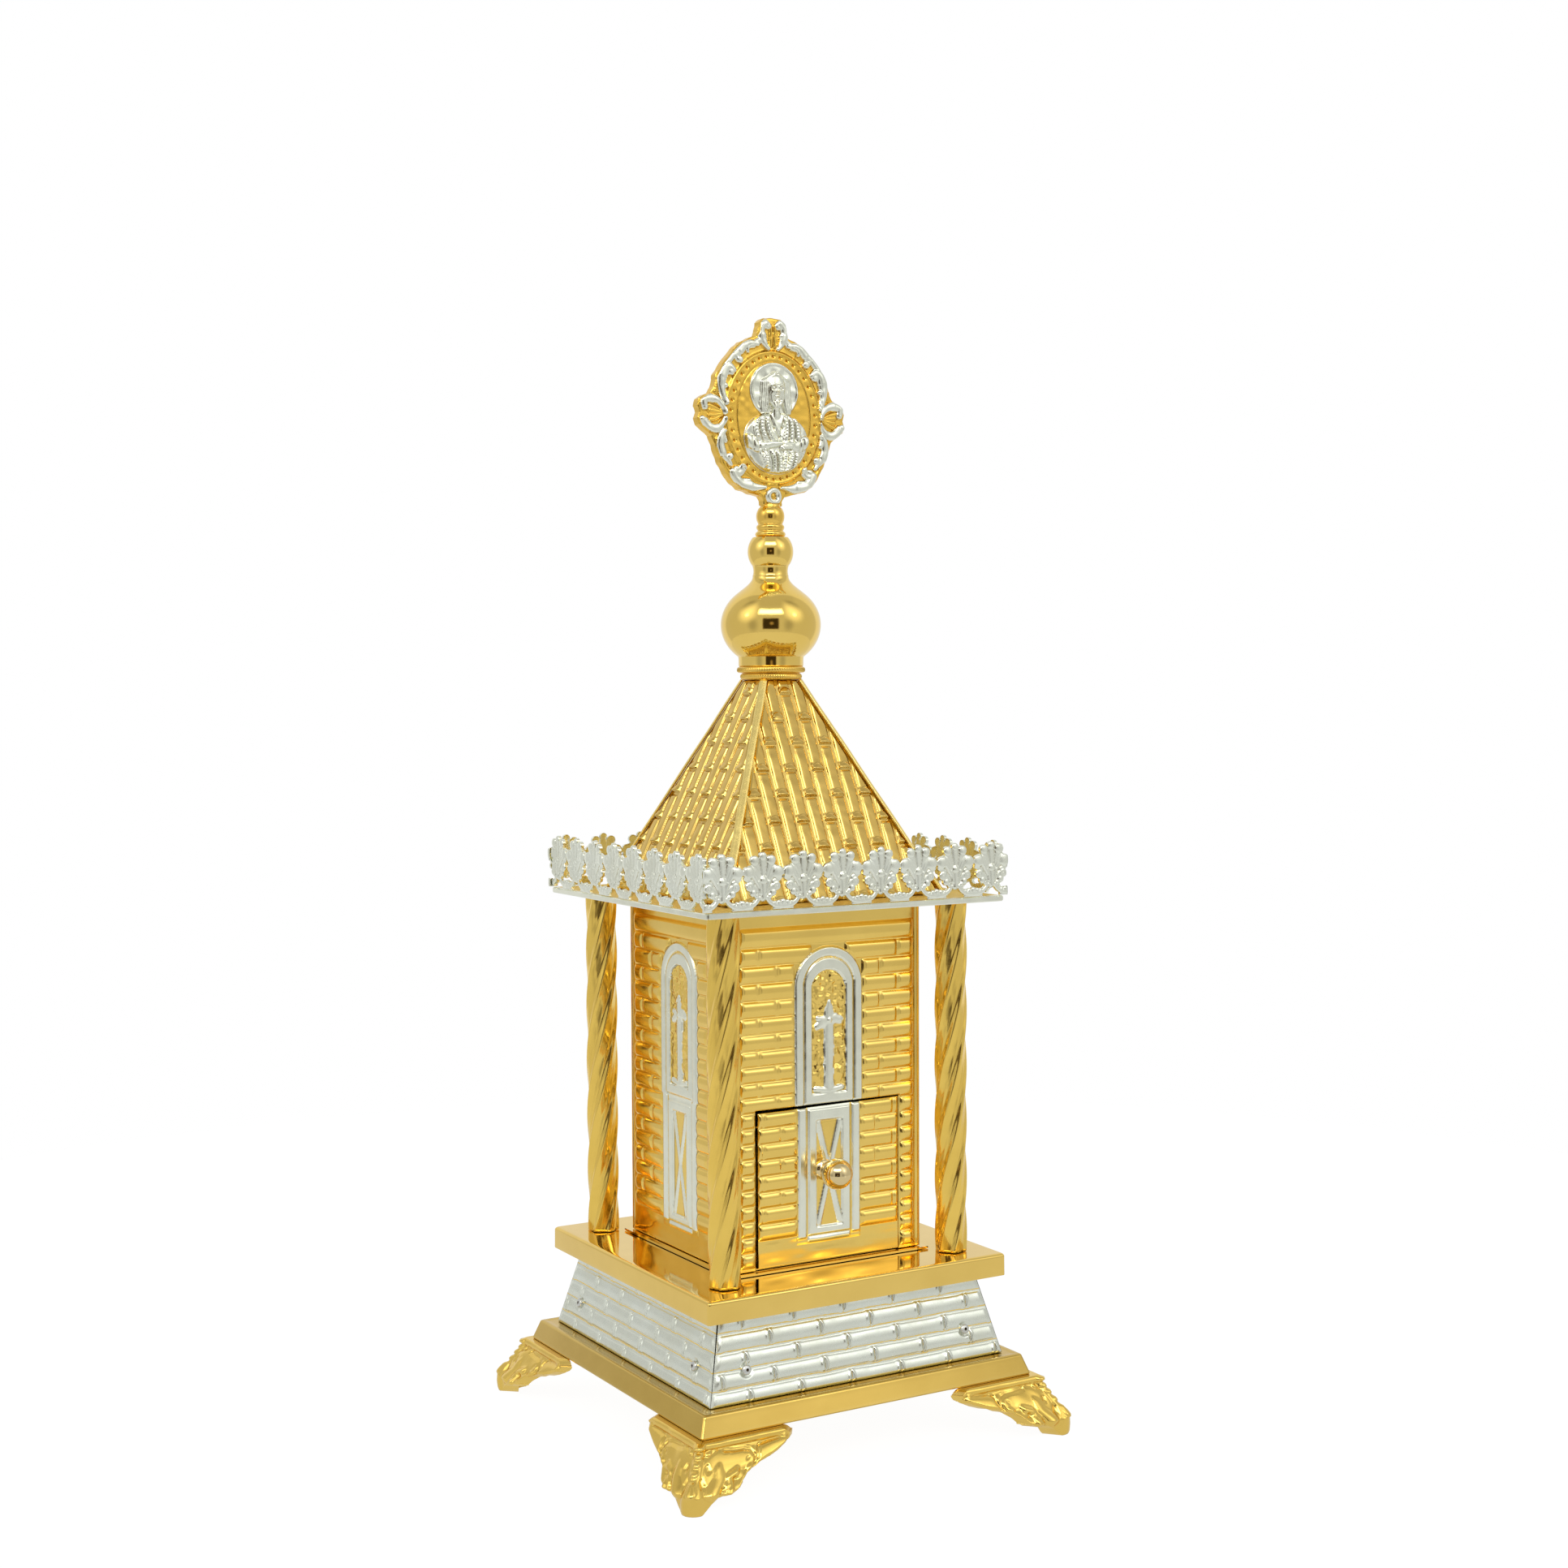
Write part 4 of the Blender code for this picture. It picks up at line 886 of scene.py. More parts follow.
# ------------------------------------------------------------------ plates
def plinth():
    low, top, half, top_half = 25.35, box_mm("plinth")[1][2], box_mm("plinth")[1][0], 81.3
    profile = [(half - 2.6, low + 0.1, 1.2), (half - 0.7, low, 1.0),
               (half - 0.15, low + 0.15, 1.2), (half, low + 0.7, 1.3)]
    for i in range(1, 6):
        t = i / 5
        profile.append((half + (top_half + 0.25 - half) * t,
                        low + 0.7 + (top - 1.1 - low - 0.7) * t, 1.3))
    profile += [(top_half + 0.1, top - 0.6, 1.3), (top_half - 0.2, top - 0.22, 1.3),
                (top_half - 0.7, top, 1.2), (79.4, top + 0.02, 1.1), (79.0, top - 0.05, 1.1),
                (78.6, top - 0.15, 1.0), (77.0, top - 0.15, 1.0), (30.0, top - 0.15, 1.0)]
    place(square_sweep("plinth_pan", profile, 6, PLINTH_GILT), "plinth")


def mid_plate():
    (_, _, low), (half, _, top) = box_mm("mid_plate")
    profile = [(half - 1.6, low + 0.1, 1.0), (half - 0.5, low, 1.0),
               (half - 0.1, low + 0.15, 1.2), (half, low + 0.6, 1.3)]
    for i in range(1, 5):
        t = i / 4
        profile.append((half - 0.05 * t, low + 0.6 + (top - 1.7 - low - 0.6) * t, 1.4))
    rounding = 1.45
    for angle in np.radians(np.linspace(12, 90, 8)):
        profile.append((half - 1.5 + rounding * math.cos(angle),
                        top - rounding + rounding * math.sin(angle), 1.4))
    profile += [(half - 3.0, top, 1.2), (40.0, top, 1.0)]
    place(square_sweep("mid_plate_pan", profile, 8, PLATE_GILT), "mid_plate")


def roof_plate():
    """Flat plate under the roof with a silvered edge."""
    (_, _, low), (half, _, top) = box_mm("roof_plate")
    profile = [(30.0, low, 1.0), (half - 1.2, low, 1.4), (half - 0.35, low + 0.12, 1.6),
               (half, low + 0.55, 1.8), (half + 0.05, (low + top) / 2, 1.8),
               (half, top - 0.55, 1.8), (half - 0.35, top - 0.12, 1.6), (half - 1.2, top, 1.4),
               (half - 1.9, top, 1.4), (half - 2.0, top - 0.05, 1.3), (30.0, top - 0.05, 1.0)]
    obj = square_sweep("roof_plate_sheet", profile, 8, ROOF_PLATE_GILT,
                       plate=[0, 0.2, 1, 1, 1, 1, 1, 1, 0.9, 0.0, 0])
    place(obj, "roof_plate")


plinth()
mid_plate()
roof_plate()

# ------------------------------------------------------------------ columns
COLUMN_PLACE, COLUMN_RADIUS = 58.4, 6.68
TWIST_PITCH = 153.0
# waves round the column: height, number of lobes, phase
COLUMN_WAVES = [(0.42, 6, 0.0), (0.15, 12, 0.9), (0.07, 18, 2.1), (0.05, 11, 0.4)]
COLUMN_TURNS = (0.9, 0.2, 0.0, 0.55)            # starting angles in the order of CORNERS


def rope_column(name, start):
    low, high = box_mm("column_" + name)
    centre_x = math.copysign(COLUMN_PLACE, low[0] + high[0])
    centre_y = math.copysign(COLUMN_PLACE, low[1] + high[1])
    z = np.linspace(low[2], high[2], 140)[:, None]
    angle = np.linspace(0, 2 * np.pi, 108, endpoint=False)[None, :]
    phase = angle - (2 * np.pi * (z - low[2]) / TWIST_PITCH + start)
    radius = COLUMN_RADIUS + sum(height * np.cos(lobes * phase + shift)
                                 for height, lobes, shift in COLUMN_WAVES)
    rings = points(centre_x + radius * np.cos(angle), centre_y + radius * np.sin(angle), z)
    place(skin("rope_column_" + name, rings, COLUMN_GILT), "column_" + name)


for name, start in zip(CORNERS, COLUMN_TURNS):
    rope_column(name, start)

# ------------------------------------------------------------------ finial
# collar: radius, height above its foot
COLLAR = [(11.0, -0.25), (13.2, -0.25), (13.7, 0.3), (13.85, 0.7), (13.9, 1.1), (13.9, 1.5),
          (13.85, 1.9), (13.7, 2.3), (13.2, 2.55), (13.2, 2.85), (14.7, 2.95), (15.15, 3.2),
          (15.35, 3.6), (15.4, 4.0), (15.4, 4.4), (15.35, 4.9), (15.15, 5.35), (14.7, 5.6),
          (14.4, 5.88), (11.0, 5.88)]
# lower part of the stem: radius, height above its foot
STEM = [(3.0, -0.1), (6.1, 0), (6.75, 0.5), (6.95, 1.2), (6.75, 1.9), (6.0, 2.5), (5.75, 2.9),
        (6.1, 3.5), (6.38, 4.2), (6.3, 4.9), (5.8, 5.5), (5.55, 5.8)]


def collar():
    """Two knurled rings, one above the other."""
    foot_z = box_mm("collar")[0][2]

    def knurl(angle, z, radius):
        upper = bell(z - (foot_z + 4.25), 0.85, 4) * (radius > 14.5)
        lower = bell(z - (foot_z + 1.3), 0.75, 4) * (radius > 13.3)
        return (0.22 * upper * np.cos(84 * angle + 4.2 * z)
                + 0.2 * lower * np.cos(78 * angle - 4.2 * z))

    obj = lathe("knurled_collar", lifted(COLLAR, foot_z), 504, KNURLED_GILT, ripple=knurl)
    place(obj, "collar")


def onion():
    """Elliptic bulb on a short foot, drawn in to a neck by a cubic curve."""
    low, top = box_mm("onion_dome")[0][2], box_mm("onion_dome")[1][2]
    bulb_radius, bulb_rise, bulb_z = 22.8, 19.2, 361.8
    profile = [(12.0, low), (14.5, low), (14.8, low + 0.25), (14.8, low + 2.0), (14.82, 346.2)]
    start, end = (math.asin((z - bulb_z) / bulb_rise) for z in (347.3, 375.6))
    for i in range(41):
        angle = start + (end - start) * i / 40
        profile.append((bulb_radius * math.cos(angle), bulb_z + bulb_rise * math.sin(angle)))
    before, last = np.array(profile[-2:])
    along = (last - before) / np.linalg.norm(last - before)
    controls = (last, last + along * 4.34, np.array((8.1, top - 3.0)), np.array((8.15, top)))
    for i in range(1, 15):
        t = i / 14
        weights = ((1 - t) ** 3, 3 * t * (1 - t) ** 2, 3 * t * t * (1 - t), t ** 3)
        profile.append(tuple(sum(w * point for w, point in zip(weights, controls))))
    profile.append((6.5, top))
    obj = lathe("onion_bulb", profile, 128, TURNED_GILT, sharp=38)
    place(obj, "onion_dome")


def neck():
    low, top = box_mm("onion_dome")[1][2] + 0.01, box_mm("neck_ferrule")[1][2] + 0.1
    profile = [(6.0, low)]
    for t in np.linspace(0, 1, 12):
        lip = 0.12 if t in (0, 1) else 0
        profile.append((8.15 - 0.32 * math.sin(math.pi * t) + lip, low + (top - low) * t))
    profile.append((6.0, top))
    obj = lathe("neck_sleeve", profile, 96, TURNED_GILT, sharp=38)
    place(obj, "neck_ferrule")


def ball():
    radius, centre_z = 10.4, 394.9
    low, top = box_mm("finial_ball")[0][2] - 0.1, box_mm("finial_ball")[1][2] + 0.1
    start, end = (math.degrees(math.asin((z - centre_z) / radius)) for z in (low, top))
    profile = [(3.0, low)] + arc(centre_z, radius, start, end, 34) + [(3.0, top)]
    obj = lathe("small_ball", profile, 96, TURNED_GILT, sharp=38)
    place(obj, "finial_ball")


def stem():
    profile = lifted(STEM, box_mm("finial_stem")[0][2]) + arc(410.9, 6.42, -30, 38, 16)
    profile += [(4.75, 415.0), (4.6, 415.6), (4.6, 416.6), (2.0, 416.6)]
    place(lathe("finial_stem_cast", profile, 72, STEM_GILT), "finial_stem")


def knob():
    """Drawer knob: a round head on a smaller ball; its axis points to the front."""
    low, high = box_mm("drawer_knob")
    centre = ((low[0] + high[0]) / 2, high[1] + 0.15, (low[2] + high[2]) / 2)
    profile = [(0.0, 0.0), (4.5, 0.0), (4.7, 0.3), (4.5, 0.7), (3.7, 1.1), (3.1, 1.5),
               (2.8, 1.95)]
    profile += arc(5.9, 4.75, -52, 36, 16) + arc(10.7, 6.8, -44, 87, 30) + [(0.0, 17.5)]
    obj = lathe("turned_knob", profile, 64, CHAMPAGNE, centre=centre, axis=(0, -1, 0))
    place(obj, "drawer_knob", body="drawer")


collar()
onion()
neck()
ball()
stem()
knob()

# ------------------------------------------------------------------ pierced gallery
GALLERY_LOW = box_mm("gallery_front")[0][2]
GALLERY_OUT = -box_mm("gallery_front")[0][1]
GALLERY_STEP = 0.34
PALMETTE_WIDTH = 19.5
# one half of the palmette, x from its middle and y from its base: path, height, base
PALMETTE = [
    # fan and stem
    ([(0, 15.0, 6.0), (0, 15.4, 6.0)], 0.25, 0.25),
    ([(0, 8.4, 3.6), (0, 12.0, 5.4)], 0.25, 0.25),
    ([(0, 4.9, 1.5), (0, 8.0, 2.6)], 0.3, 0.25),
    # petals
    (dot(0, 22.3, 1.75), 0.75, 0.55),
    (dot(4.0, 20.6, 2.1), 0.75, 0.55),
    ([(0, 13.6, 0.8), (0, 17.6, 1.3), (0, 21.4, 1.5)], 0.24, 0.6),
    ([(1.7, 13.8, 0.8), (3.0, 17.4, 1.3), (3.9, 19.8, 1.6)], 0.24, 0.6),
    # outer scroll and its leaf
    (curve((1.5, 7.0), (2.6, 13.4), (5.6, 16.8), 1.0, 1.9, 10), 0.8, 0.4),
    (dot(7.0, 15.6, 2.7), 0.75, 0.8),
    (spiral((7.0, 15.4), (1.9, 1.5), (190, -60), 14, (0.95, 0.8)), 0.75, 0.5),
    ([(8.2, 13.4, 1.2), (6.6, 12.3, 1.2), (5.0, 12.0, 1.2)], 0.35, 0.35),
    # lower scroll
    (dot(6.4, 9.7, 1.9), 0.2, 0.3),
    (spiral((6.45, 9.7), (1.35, 1.1), (200, -160), 14, (0.8, 0.7)), 0.55, 0.45),
    (dot(6.45, 9.7, 0.7), 0.7, 0.45),
    (dot(4.8, 7.1, 1.6), 0.8, 0.4),
    (dot(3.3, 5.8, 1.05), 0.7, 0.4),
    ([(4.4, 9.4, 1.4), (2.6, 8.8, 1.4)], 0.45, 0.35),
    # bead and drop on the stem
    (dot(0, 12.4, 1.75), 0.95, 0.6),
    ([(0, 10.4, 1.25), (0, 7.0, 1.1), (0, 4.6, 0.8)], 0.75, 0.5),
    # thin arms down to shallow cups
    (curve((1.5, 6.0), (2.7, 2.7), (6.2, 1.7), 0.8, 1.15, 10), 0.5, 0.4),
    ([(6.2, 1.7, 1.15), (9.75, 1.4, 1.5)], 0.55, 0.4),
    ([(5.6, 0.3, 0.9), (9.75, 0.3, 1.2)], 0.3, 0.4),
    (dot(9.75, 3.0, 1.25), 0.7, 0.45),
    (dot(7.6, 2.8, 1.0), 0.6, 0.45),
    (dot(5.7, 2.7, 0.8), 0.5, 0.45),
]
# slits that part the petals: path, depth, base, power
PALMETTE_SLITS = [
    ([(1.05, 13.8, 0.5), (1.5, 17.0, 0.6), (2.0, 20.2, 0.5)], 0.07, 0, 0.9),
    ([(2.5, 12.4, 0.5), (4.0, 15.2, 0.6), (5.3, 18.2, 0.5)], 0.24, 0, 0.9),
    ([(1.7, 5.8, 0.4), (2.5, 9.0, 0.55), (4.4, 12.4, 0.5), (6.0, 13.3, 0.4)], 0.46, 0, 0.9),
]


def palmette(x, y):
    """Height and margin of the repeating palmette; y grows from the base."""
    across = np.abs(np.mod(x, PALMETTE_WIDTH) - PALMETTE_WIDTH / 2)
    raised, slits = Field(across, y), Field(across, y)
    raised.draw(PALMETTE)
    slits.draw(PALMETTE_SLITS)
    return raised.height - slits.height, raised.margin


def gallery(side, where):
    if where in ("front", "rear"):
        reach = box_mm("gallery_" + where)[1][0]
    else:
        reach = box_mm("gallery_right")[1][1]
    x, y = np.meshgrid(np.linspace(-reach, reach, int(round(2 * reach / GALLERY_STEP)) + 1),
                       np.arange(0.0, 24.6, GALLERY_STEP))
    margin = np.minimum(palmette(x, y)[1], reach + 0.2 - np.abs(x))
    x, y, keep = snap(x, y, margin, GALLERY_STEP)
    y = np.clip(y, 0, None)
    relief = palmette(x, y)[0] + value_noise(x, y, 2.0, 110 + side) * 0.04
    # the strip sways more towards its top
    sway = value_noise(x * 0.25, y * 0.6, 5.0, 120 + side) * 0.28 * (y / 24.0)
    z = y + GALLERY_LOW
    obj = sheet("palmette_gallery_" + where,
                points(x, -GALLERY_OUT - relief * 0.85 - 0.05 - sway, z),
                points(x, -GALLERY_OUT + 1.0 - sway - relief * 0.35, z),
                GALLERY_SILVER, side, keep, flat_back=False)
    place(obj, "gallery_" + where)


for k, where in enumerate(SIDES):
    gallery(k, where)

# ------------------------------------------------------------------ feet
FOOT_TOP = 25.3
# face of a foot: height, distance from the centre plane
FOOT_FACE = np.array([(0, 96.9), (1.0, 97.1), (4, 97.2), (7.5, 97.0), (10, 95.3), (13, 93.0),
                      (17, 90.3), (20.5, 88.2), (22.0, 87.2), (25.3, 86.7)]).T
# lower edge of a wing: distance along the wing from the corner, height
FOOT_EDGE = np.array([(0, 0), (4.6, 0.0), (6.6, 1.2), (9.6, 3.9), (12.5, 5.9), (15.5, 6.4),
                      (19, 6.3), (21.4, 7.9), (22.6, 10.4), (25.2, 13.0), (28.6, 14.0),
                      (31, 15.4), (34.5, 16.1), (38, 17.6), (41.3, 19.6), (43.1, 22.0),
                      (43.4, 24.0), (42.6, 26)]).T
# main leaves, x along the wing: path, height, base, power
FOOT_BODY = [
    ([(8, 16.2, 6.2), (16, 16.8, 5.2), (22, 17.3, 4.2), (25.4, 17.4, 3.2)], 1.5, 0, 0.75),
    ([(30.4, 18.2, 3.2), (34.5, 19.4, 3.0), (39.8, 21.2, 2.0)], 1.5, 0, 0.75),
    ([(9.6, 15.6, 3.6), (10.8, 12.6, 4.3), (9.6, 8.8, 3.9)], 2.3, 0, 0.85),
    ([(0, 24, 2.4), (0, 12, 3.2), (0, 6.0, 5.8), (0, 2.0, 6.4)], 1.3, 0, 0.8),
    ([(20.0, 13.0, 2.2), (22.4, 11.9, 2.3), (21.4, 9.4, 2.1), (18.4, 8.2, 2.2)], 1.3, 0, 0.9),
]
# forms added on top, in the same columns
FOOT_FORMS = [
    # three lobes of the scroll, its end bead and a small bead by the ridge
    ([(15.6, 12.7, 2.1), (18.2, 13.7, 2.2)], 1.9, 0, 1.3),
    ([(15.4, 10.0, 2.1), (16.9, 10.1, 2.1)], 2.1, 0, 1.3),
    ([(15.8, 7.5, 1.9), (17.4, 7.6, 2.0)], 1.8, 0, 1.3),
    ([(24.8, 14.0, 1.9), (24.9, 14.0, 1.9)], 1.4, 0, 1.3),
    ([(4.6, 21.3, 1.1), (4.7, 21.3, 1.1)], 1.2, 0, 0.8),
    # beads and a teardrop down the corner ridge
    *(([(0, z, 1.1), (0.01, z, 1.1)], 1.2, 0, 0.5) for z in (23.7, 21.1, 18.3, 15.2)),
    ([(0, 12.0, 1.0), (0, 9.2, 2.1)], 1.7, 0, 0.9),
]
# hollows and creases: path, depth, base, power
FOOT_HOLLOWS = [
    ([(4.5, 16.8, 1.3), (5.6, 15.4, 1.3)], 1.0, 0, 1.2),
    ([(2.6, 12.6, 1.2), (4.8, 10.4, 1.3)], 0.6, 0, 1.2),
    ([(1.6, 19.8, 0.6), (4.6, 20.0, 0.6), (6.6, 21.0, 0.6), (8.6, 22.2, 0.5)], 0.5, 0, 1.0),
    ([(11.5, 21.2, 0.8), (16, 20.7, 0.8), (21, 20.5, 0.8), (24.2, 19.8, 0.8), (26.6, 17.8, 0.8),
      (27.7, 15.2, 0.8)], 1.0, 0, 1.0),
    ([(29.0, 21.2, 0.6), (33, 21.6, 0.6), (38.3, 22.2, 0.5)], 0.6, 0, 1.0),
    ([(28.0, 20.6, 0.8), (28.7, 16.4, 0.8)], 1.1, 0, 1.0),
    ([(23.3, 17.4, 1.1), (23.4, 17.4, 1.1)], 0.5, 0, 1.3),
]


def foot_relief(along, z):
    """Leaf and scroll work; along runs from the corner ridge out along both wings."""
    across = np.abs(along)
    raised, hollows = Field(across, z), Field(across, z)
    raised.draw(FOOT_BODY)
    raised.draw(FOOT_FORMS, add=True)
    hollows.draw(FOOT_HOLLOWS)
    top_band = 0.9 * smooth(z, 22.0, 23.2)
    rim = 0.32 * bell(z - np.interp(across, *FOOT_EDGE) - 1.3, 1.0) * smooth(across, 8, 11)
    rim = rim * (1 - smooth(across, 12.5, 14) * smooth(22 - across, 0, 1.5))
    return raised.height + top_band + rim - hollows.height


def around_corner(along, z, base, radius, relief):
    """Wraps a flat grid round the front left corner, with a rounded edge of this radius."""
    half_arc = radius * math.pi / 4
    angle = np.clip(along / half_arc, -1, 1) * math.pi / 4 - 3 * math.pi / 4
    past = np.clip(np.abs(along) - half_arc, 0, None)
    x = radius - base + (radius + relief) * np.cos(angle) + np.where(along > 0, past, 0)
    y = radius - base + (radius + relief) * np.sin(angle) + np.where(along < 0, past, 0)
    return points(x, y, z)


def foot(k, name):
    step = 0.37 if k == 0 else 0.5
    along, z = np.meshgrid(np.linspace(-44, 44, int(88 / step) + 1),
                           np.linspace(0, FOOT_TOP, int(FOOT_TOP / step) + 1))
    across = np.abs(along)
    end = 43.3 - np.clip(21.5 - z, 0, 9) * 0.1
    top = FOOT_TOP + 0.03 - 3.4 * (np.clip(across - 37.6, 0, None) / 5.6) ** 2
    margin = np.minimum(z - np.interp(across, *FOOT_EDGE) + 0.02, end - across)
    along, z, keep = snap(along, z, np.minimum(margin, top - z), step)
    z = np.clip(z, 0, FOOT_TOP)
    relief = foot_relief(along + 0.15 * value_noise(along, z, 3.0, 130 + k), z)
    relief += value_noise(along, z, 5.0, 140 + k) * 0.25
    relief = relief * smooth(FOOT_TOP - z, 0, 0.9)
    base = np.interp(z, *FOOT_FACE)
    radius = np.interp(z, [0, 8, 16, FOOT_TOP], [5.5, 4.5, 2.4, 1.6])
    thickness = np.interp(z, [0, 6, 20, FOOT_TOP], [6.0, 4.5, 3.4, 3.4])
    obj = sheet("cast_foot_" + name, around_corner(along, z, base, radius, relief * 0.85),
                around_corner(along, z, base - thickness, np.maximum(radius - 0.5, 0.35), 0),
                CAST_GILT, k, keep, flat_back=False)
    place(obj, "foot_" + name)


for k, name in enumerate(CORNERS):
    foot(k, name)

# ------------------------------------------------------------------ medallion
MEDALLION_Z, FACE_Y, MEDALLION_BACK = 455.2, -2.0, 2.0
MEDALLION_STEP = 0.26
# right half of the outline from the top down: x, y from the medallion's centre
OUTLINE = [
    (0, 44.8), (4.6, 44.5), (6.8, 42.6), (7.3, 38.4), (8.4, 36.3), (12, 35.0), (16, 33.0),
    (20, 29.6), (23.8, 25.4), (27, 21.2), (29.4, 16.5), (30.4, 12), (32, 9.6), (35, 8.2),
    (37.6, 6.4), (38.5, 3.4), (37.7, 0.6), (38.6, -2.0), (37.6, -5.0), (34, -7.6), (31.4, -9.6),
    (30.4, -12.6), (28.8, -17), (26.6, -21.8), (24, -26.4), (21, -30.2), (17, -32.8),
    (11, -34.3), (6.2, -35.6), (4.9, -37.6), (4.7, -39.4), (0, -39.6)]
# silvered leaves of the right half, before fitting: path, height, base
LEAVES = [
    # top crest
    (spiral((3.2, 41.6), (0.2, 1.7), (250, 20), 8, (0.9, 1.0)), 1.0, 0.5),
    (curve((4.0, 43.0), (7.6, 41.5), (5.8, 36.6), 1.3, 1.5), 1.2, 0.5),
    (curve((5.8, 37.4), (5.2, 33.8), (2.6, 31.6), 1.6, 0.7), 1.3, 0.5),
    (curve((5.4, 36.4), (7.2, 34.0), (11.0, 33.6), 1.4, 0.8), 1.1, 0.4),
    # upper border
    (curve((8.4, 33.2), (14.2, 34.4), (17.6, 29.6), 0.9, 1.5), 1.2, 0.5),
    (curve((10.8, 32.6), (14.8, 31.8), (13.6, 29.2), 1.2, 0.5), 1.2, 0.5),
    ([(17.2, 29.8, 1.4), (20.2, 27.6, 1.3), (18.6, 25.4, 1.0)], 1.0, 0.5),
    ([(21.2, 27.4, 1.0), (24.2, 24.2, 1.3), (25.8, 21.4, 1.0)], 1.0, 0.5),
    # side scrolls
    (curve((21.4, 20.6), (24.6, 24.4), (27.0, 17.8), 1.1, 1.9), 1.4, 0.5),
    (curve((27.0, 18.2), (28.6, 11.6), (25.6, 5.4), 1.9, 0.9), 1.3, 0.5),
    # side crest
    (curve((36.4, 2.8), (38.4, 7.6), (32.6, 6.8), 1.1, 1.5), 1.2, 0.5),
    (curve((33.0, 7.0), (27.6, 6.6), (26.2, 1.0), 1.5, 0.8), 1.3, 0.5),
    (curve((36.6, -3.4), (33.6, -7.6), (29.8, -6.4), 1.4, 1.5), 1.2, 0.5),
    (curve((30.2, -6.6), (27.0, -5.2), (26.2, -1.6), 1.4, 0.7), 1.2, 0.5),
    # lower sides
    (curve((26.6, -7.4), (29.6, -11.2), (27.4, -17.2), 1.0, 1.6), 1.3, 0.5),
    ([(27.2, -9.4, 1.2), (25.8, -12.0, 0.8)], 1.1, 0.5),
    ([(26.6, -18.2, 1.2), (24.4, -20.4, 1.0), (22.9, -22.4, 0.7)], 1.0, 0.5),
    (spiral((19.4, -24.6), (0.4, 2.6), (60, -200), 12, (1.0, 1.3)), 1.2, 0.5),
    (curve((21.6, -26.0), (19.4, -31.6), (12.8, -31.9), 1.5, 1.9), 1.4, 0.5),
    (curve((13.4, -31.9), (8.6, -32.6), (4.6, -32.0), 1.9, 0.6), 1.3, 0.5),
    ([(16.2, -29.8, 1.1), (13.4, -29.4, 0.8)], 1.1, 0.5),
]
# silvered beads: x, y, radius, height, dish
BEADS = [(17.4, 24.9, 1.9, 1.6, 0.25), (21.9, 19.2, 1.9, 1.6, 0.25), (24.7, 12.9, 1.35, 1.4, 0),
         (35.2, 2.6, 1.35, 1.3, 0), (36.4, -2.6, 1.6, 1.4, 0.2), (22.6, -18.4, 1.75, 1.5, 0.2)]
# thin gold ribs, before fitting, in the columns of LEAVES
RIBS = [
    ([(1.2, 42, 0.6), (0.9, 37, 0.6), (1.2, 33, 0.7)], 0.9, 0.2),
    *((curve((27.4, 0.4 + y * 0.2), (30.5, y * 0.8), (34.2 - 0.3 * j, y), 0.5, 0.75), 1.0, 0.2)
      for j, y in enumerate((3.6, 1.6, -0.6, -2.8))),
    ([(9.2, 34.4, 0.7), (19, 30.0, 0.6), (28.4, 18.0, 0.7), (30.2, 10.0, 0.7)], 0.5, 0.1),
    ([(30.0, -11.4, 0.7), (25.4, -23.8, 0.7), (18, -32.2, 0.7), (8, -34.4, 0.7)], 0.5, 0.1),
]
# mantle folds: x at the shoulder, x below, radius
MANTLE = [(-12.0, -9.5, 1.5), (-9.0, -5.6, 1.5), (-6.0, -2.0, 1.3), (6.4, 3.8, 1.3),
          (9.4, 6.8, 1.4), (12.4, 10.6, 1.5)]
# open edges of the mantle on the chest: path, height, base, power
MANTLE_OPENING = [
    ([(-3.0, 0.6, 0.8), (-0.6, -5.0, 0.9), (2.0, -9.0, 0.9)], -0.7, 0, 1.0),
    ([(5.0, 0.4, 0.8), (3.4, -4.4, 0.9), (2.0, -9.0, 0.9)], -0.7, 0, 1.0)]
# sleeves, then hands, in the same columns
ARMS = [
    ([(-14.0, -11.0, 3.0), (-9.6, -13.4, 2.9), (-4.6, -13.0, 2.0)], 1.3, 1.9, 0.7),
    ([(15.4, -10.6, 3.0), (11.4, -12.6, 2.8), (7.6, -12.4, 2.0)], 1.3, 1.9, 0.7),
    ([(-5.4, -12.8, 1.9), (-0.6, -12.0, 1.7), (2.4, -11.6, 1.2)], 1.3, 2.2, 0.7),
    ([(8.4, -12.2, 1.9), (5.0, -12.6, 1.9), (3.0, -13.6, 1.4)], 1.3, 2.2, 0.7)]
# robe folds: x at the top, x at the bottom, height
ROBE = [(-8.8, -4.2, 0.5), (-5.8, -4.6, 0.8), (-2.0, -0.4, 0.45), (0.8, 2.2, 0.75),
        (5.0, 3.0, 0.5), (8.6, 5.0, 0.7), (11.4, 8.6, 0.35)]
HEAD_X, HEAD_Y = 0.6, 12.4
HEAD_HALF = 6.6                 # half the height of the head
EYE_X, EYE_Y = HEAD_HALF * 2 / 7, 0.6


def outline_margin(x, y):
    """Signed distance inside the medallion's outline."""
    corners = OUTLINE + [(-a, b) for a, b in OUTLINE[-2:0:-1]]
    distance = np.full(x.shape, 1e9)
    inside = np.zeros(x.shape, dtype=bool)
    for (x0, y0), (x1, y1) in zip(corners, corners[1:] + corners[:1]):
        dx, dy = x1 - x0, y1 - y0
        t = np.clip(((x - x0) * dx + (y - y0) * dy) / (dx * dx + dy * dy), 0, 1)
        distance = np.minimum(distance, np.hypot(x - x0 - t * dx, y - y0 - t * dy))
        crosses = (y0 > y) != (y1 > y)
        inside ^= crosses & (x < x0 + (y - y0) * dx / dy)
    return np.where(inside, distance, -distance)


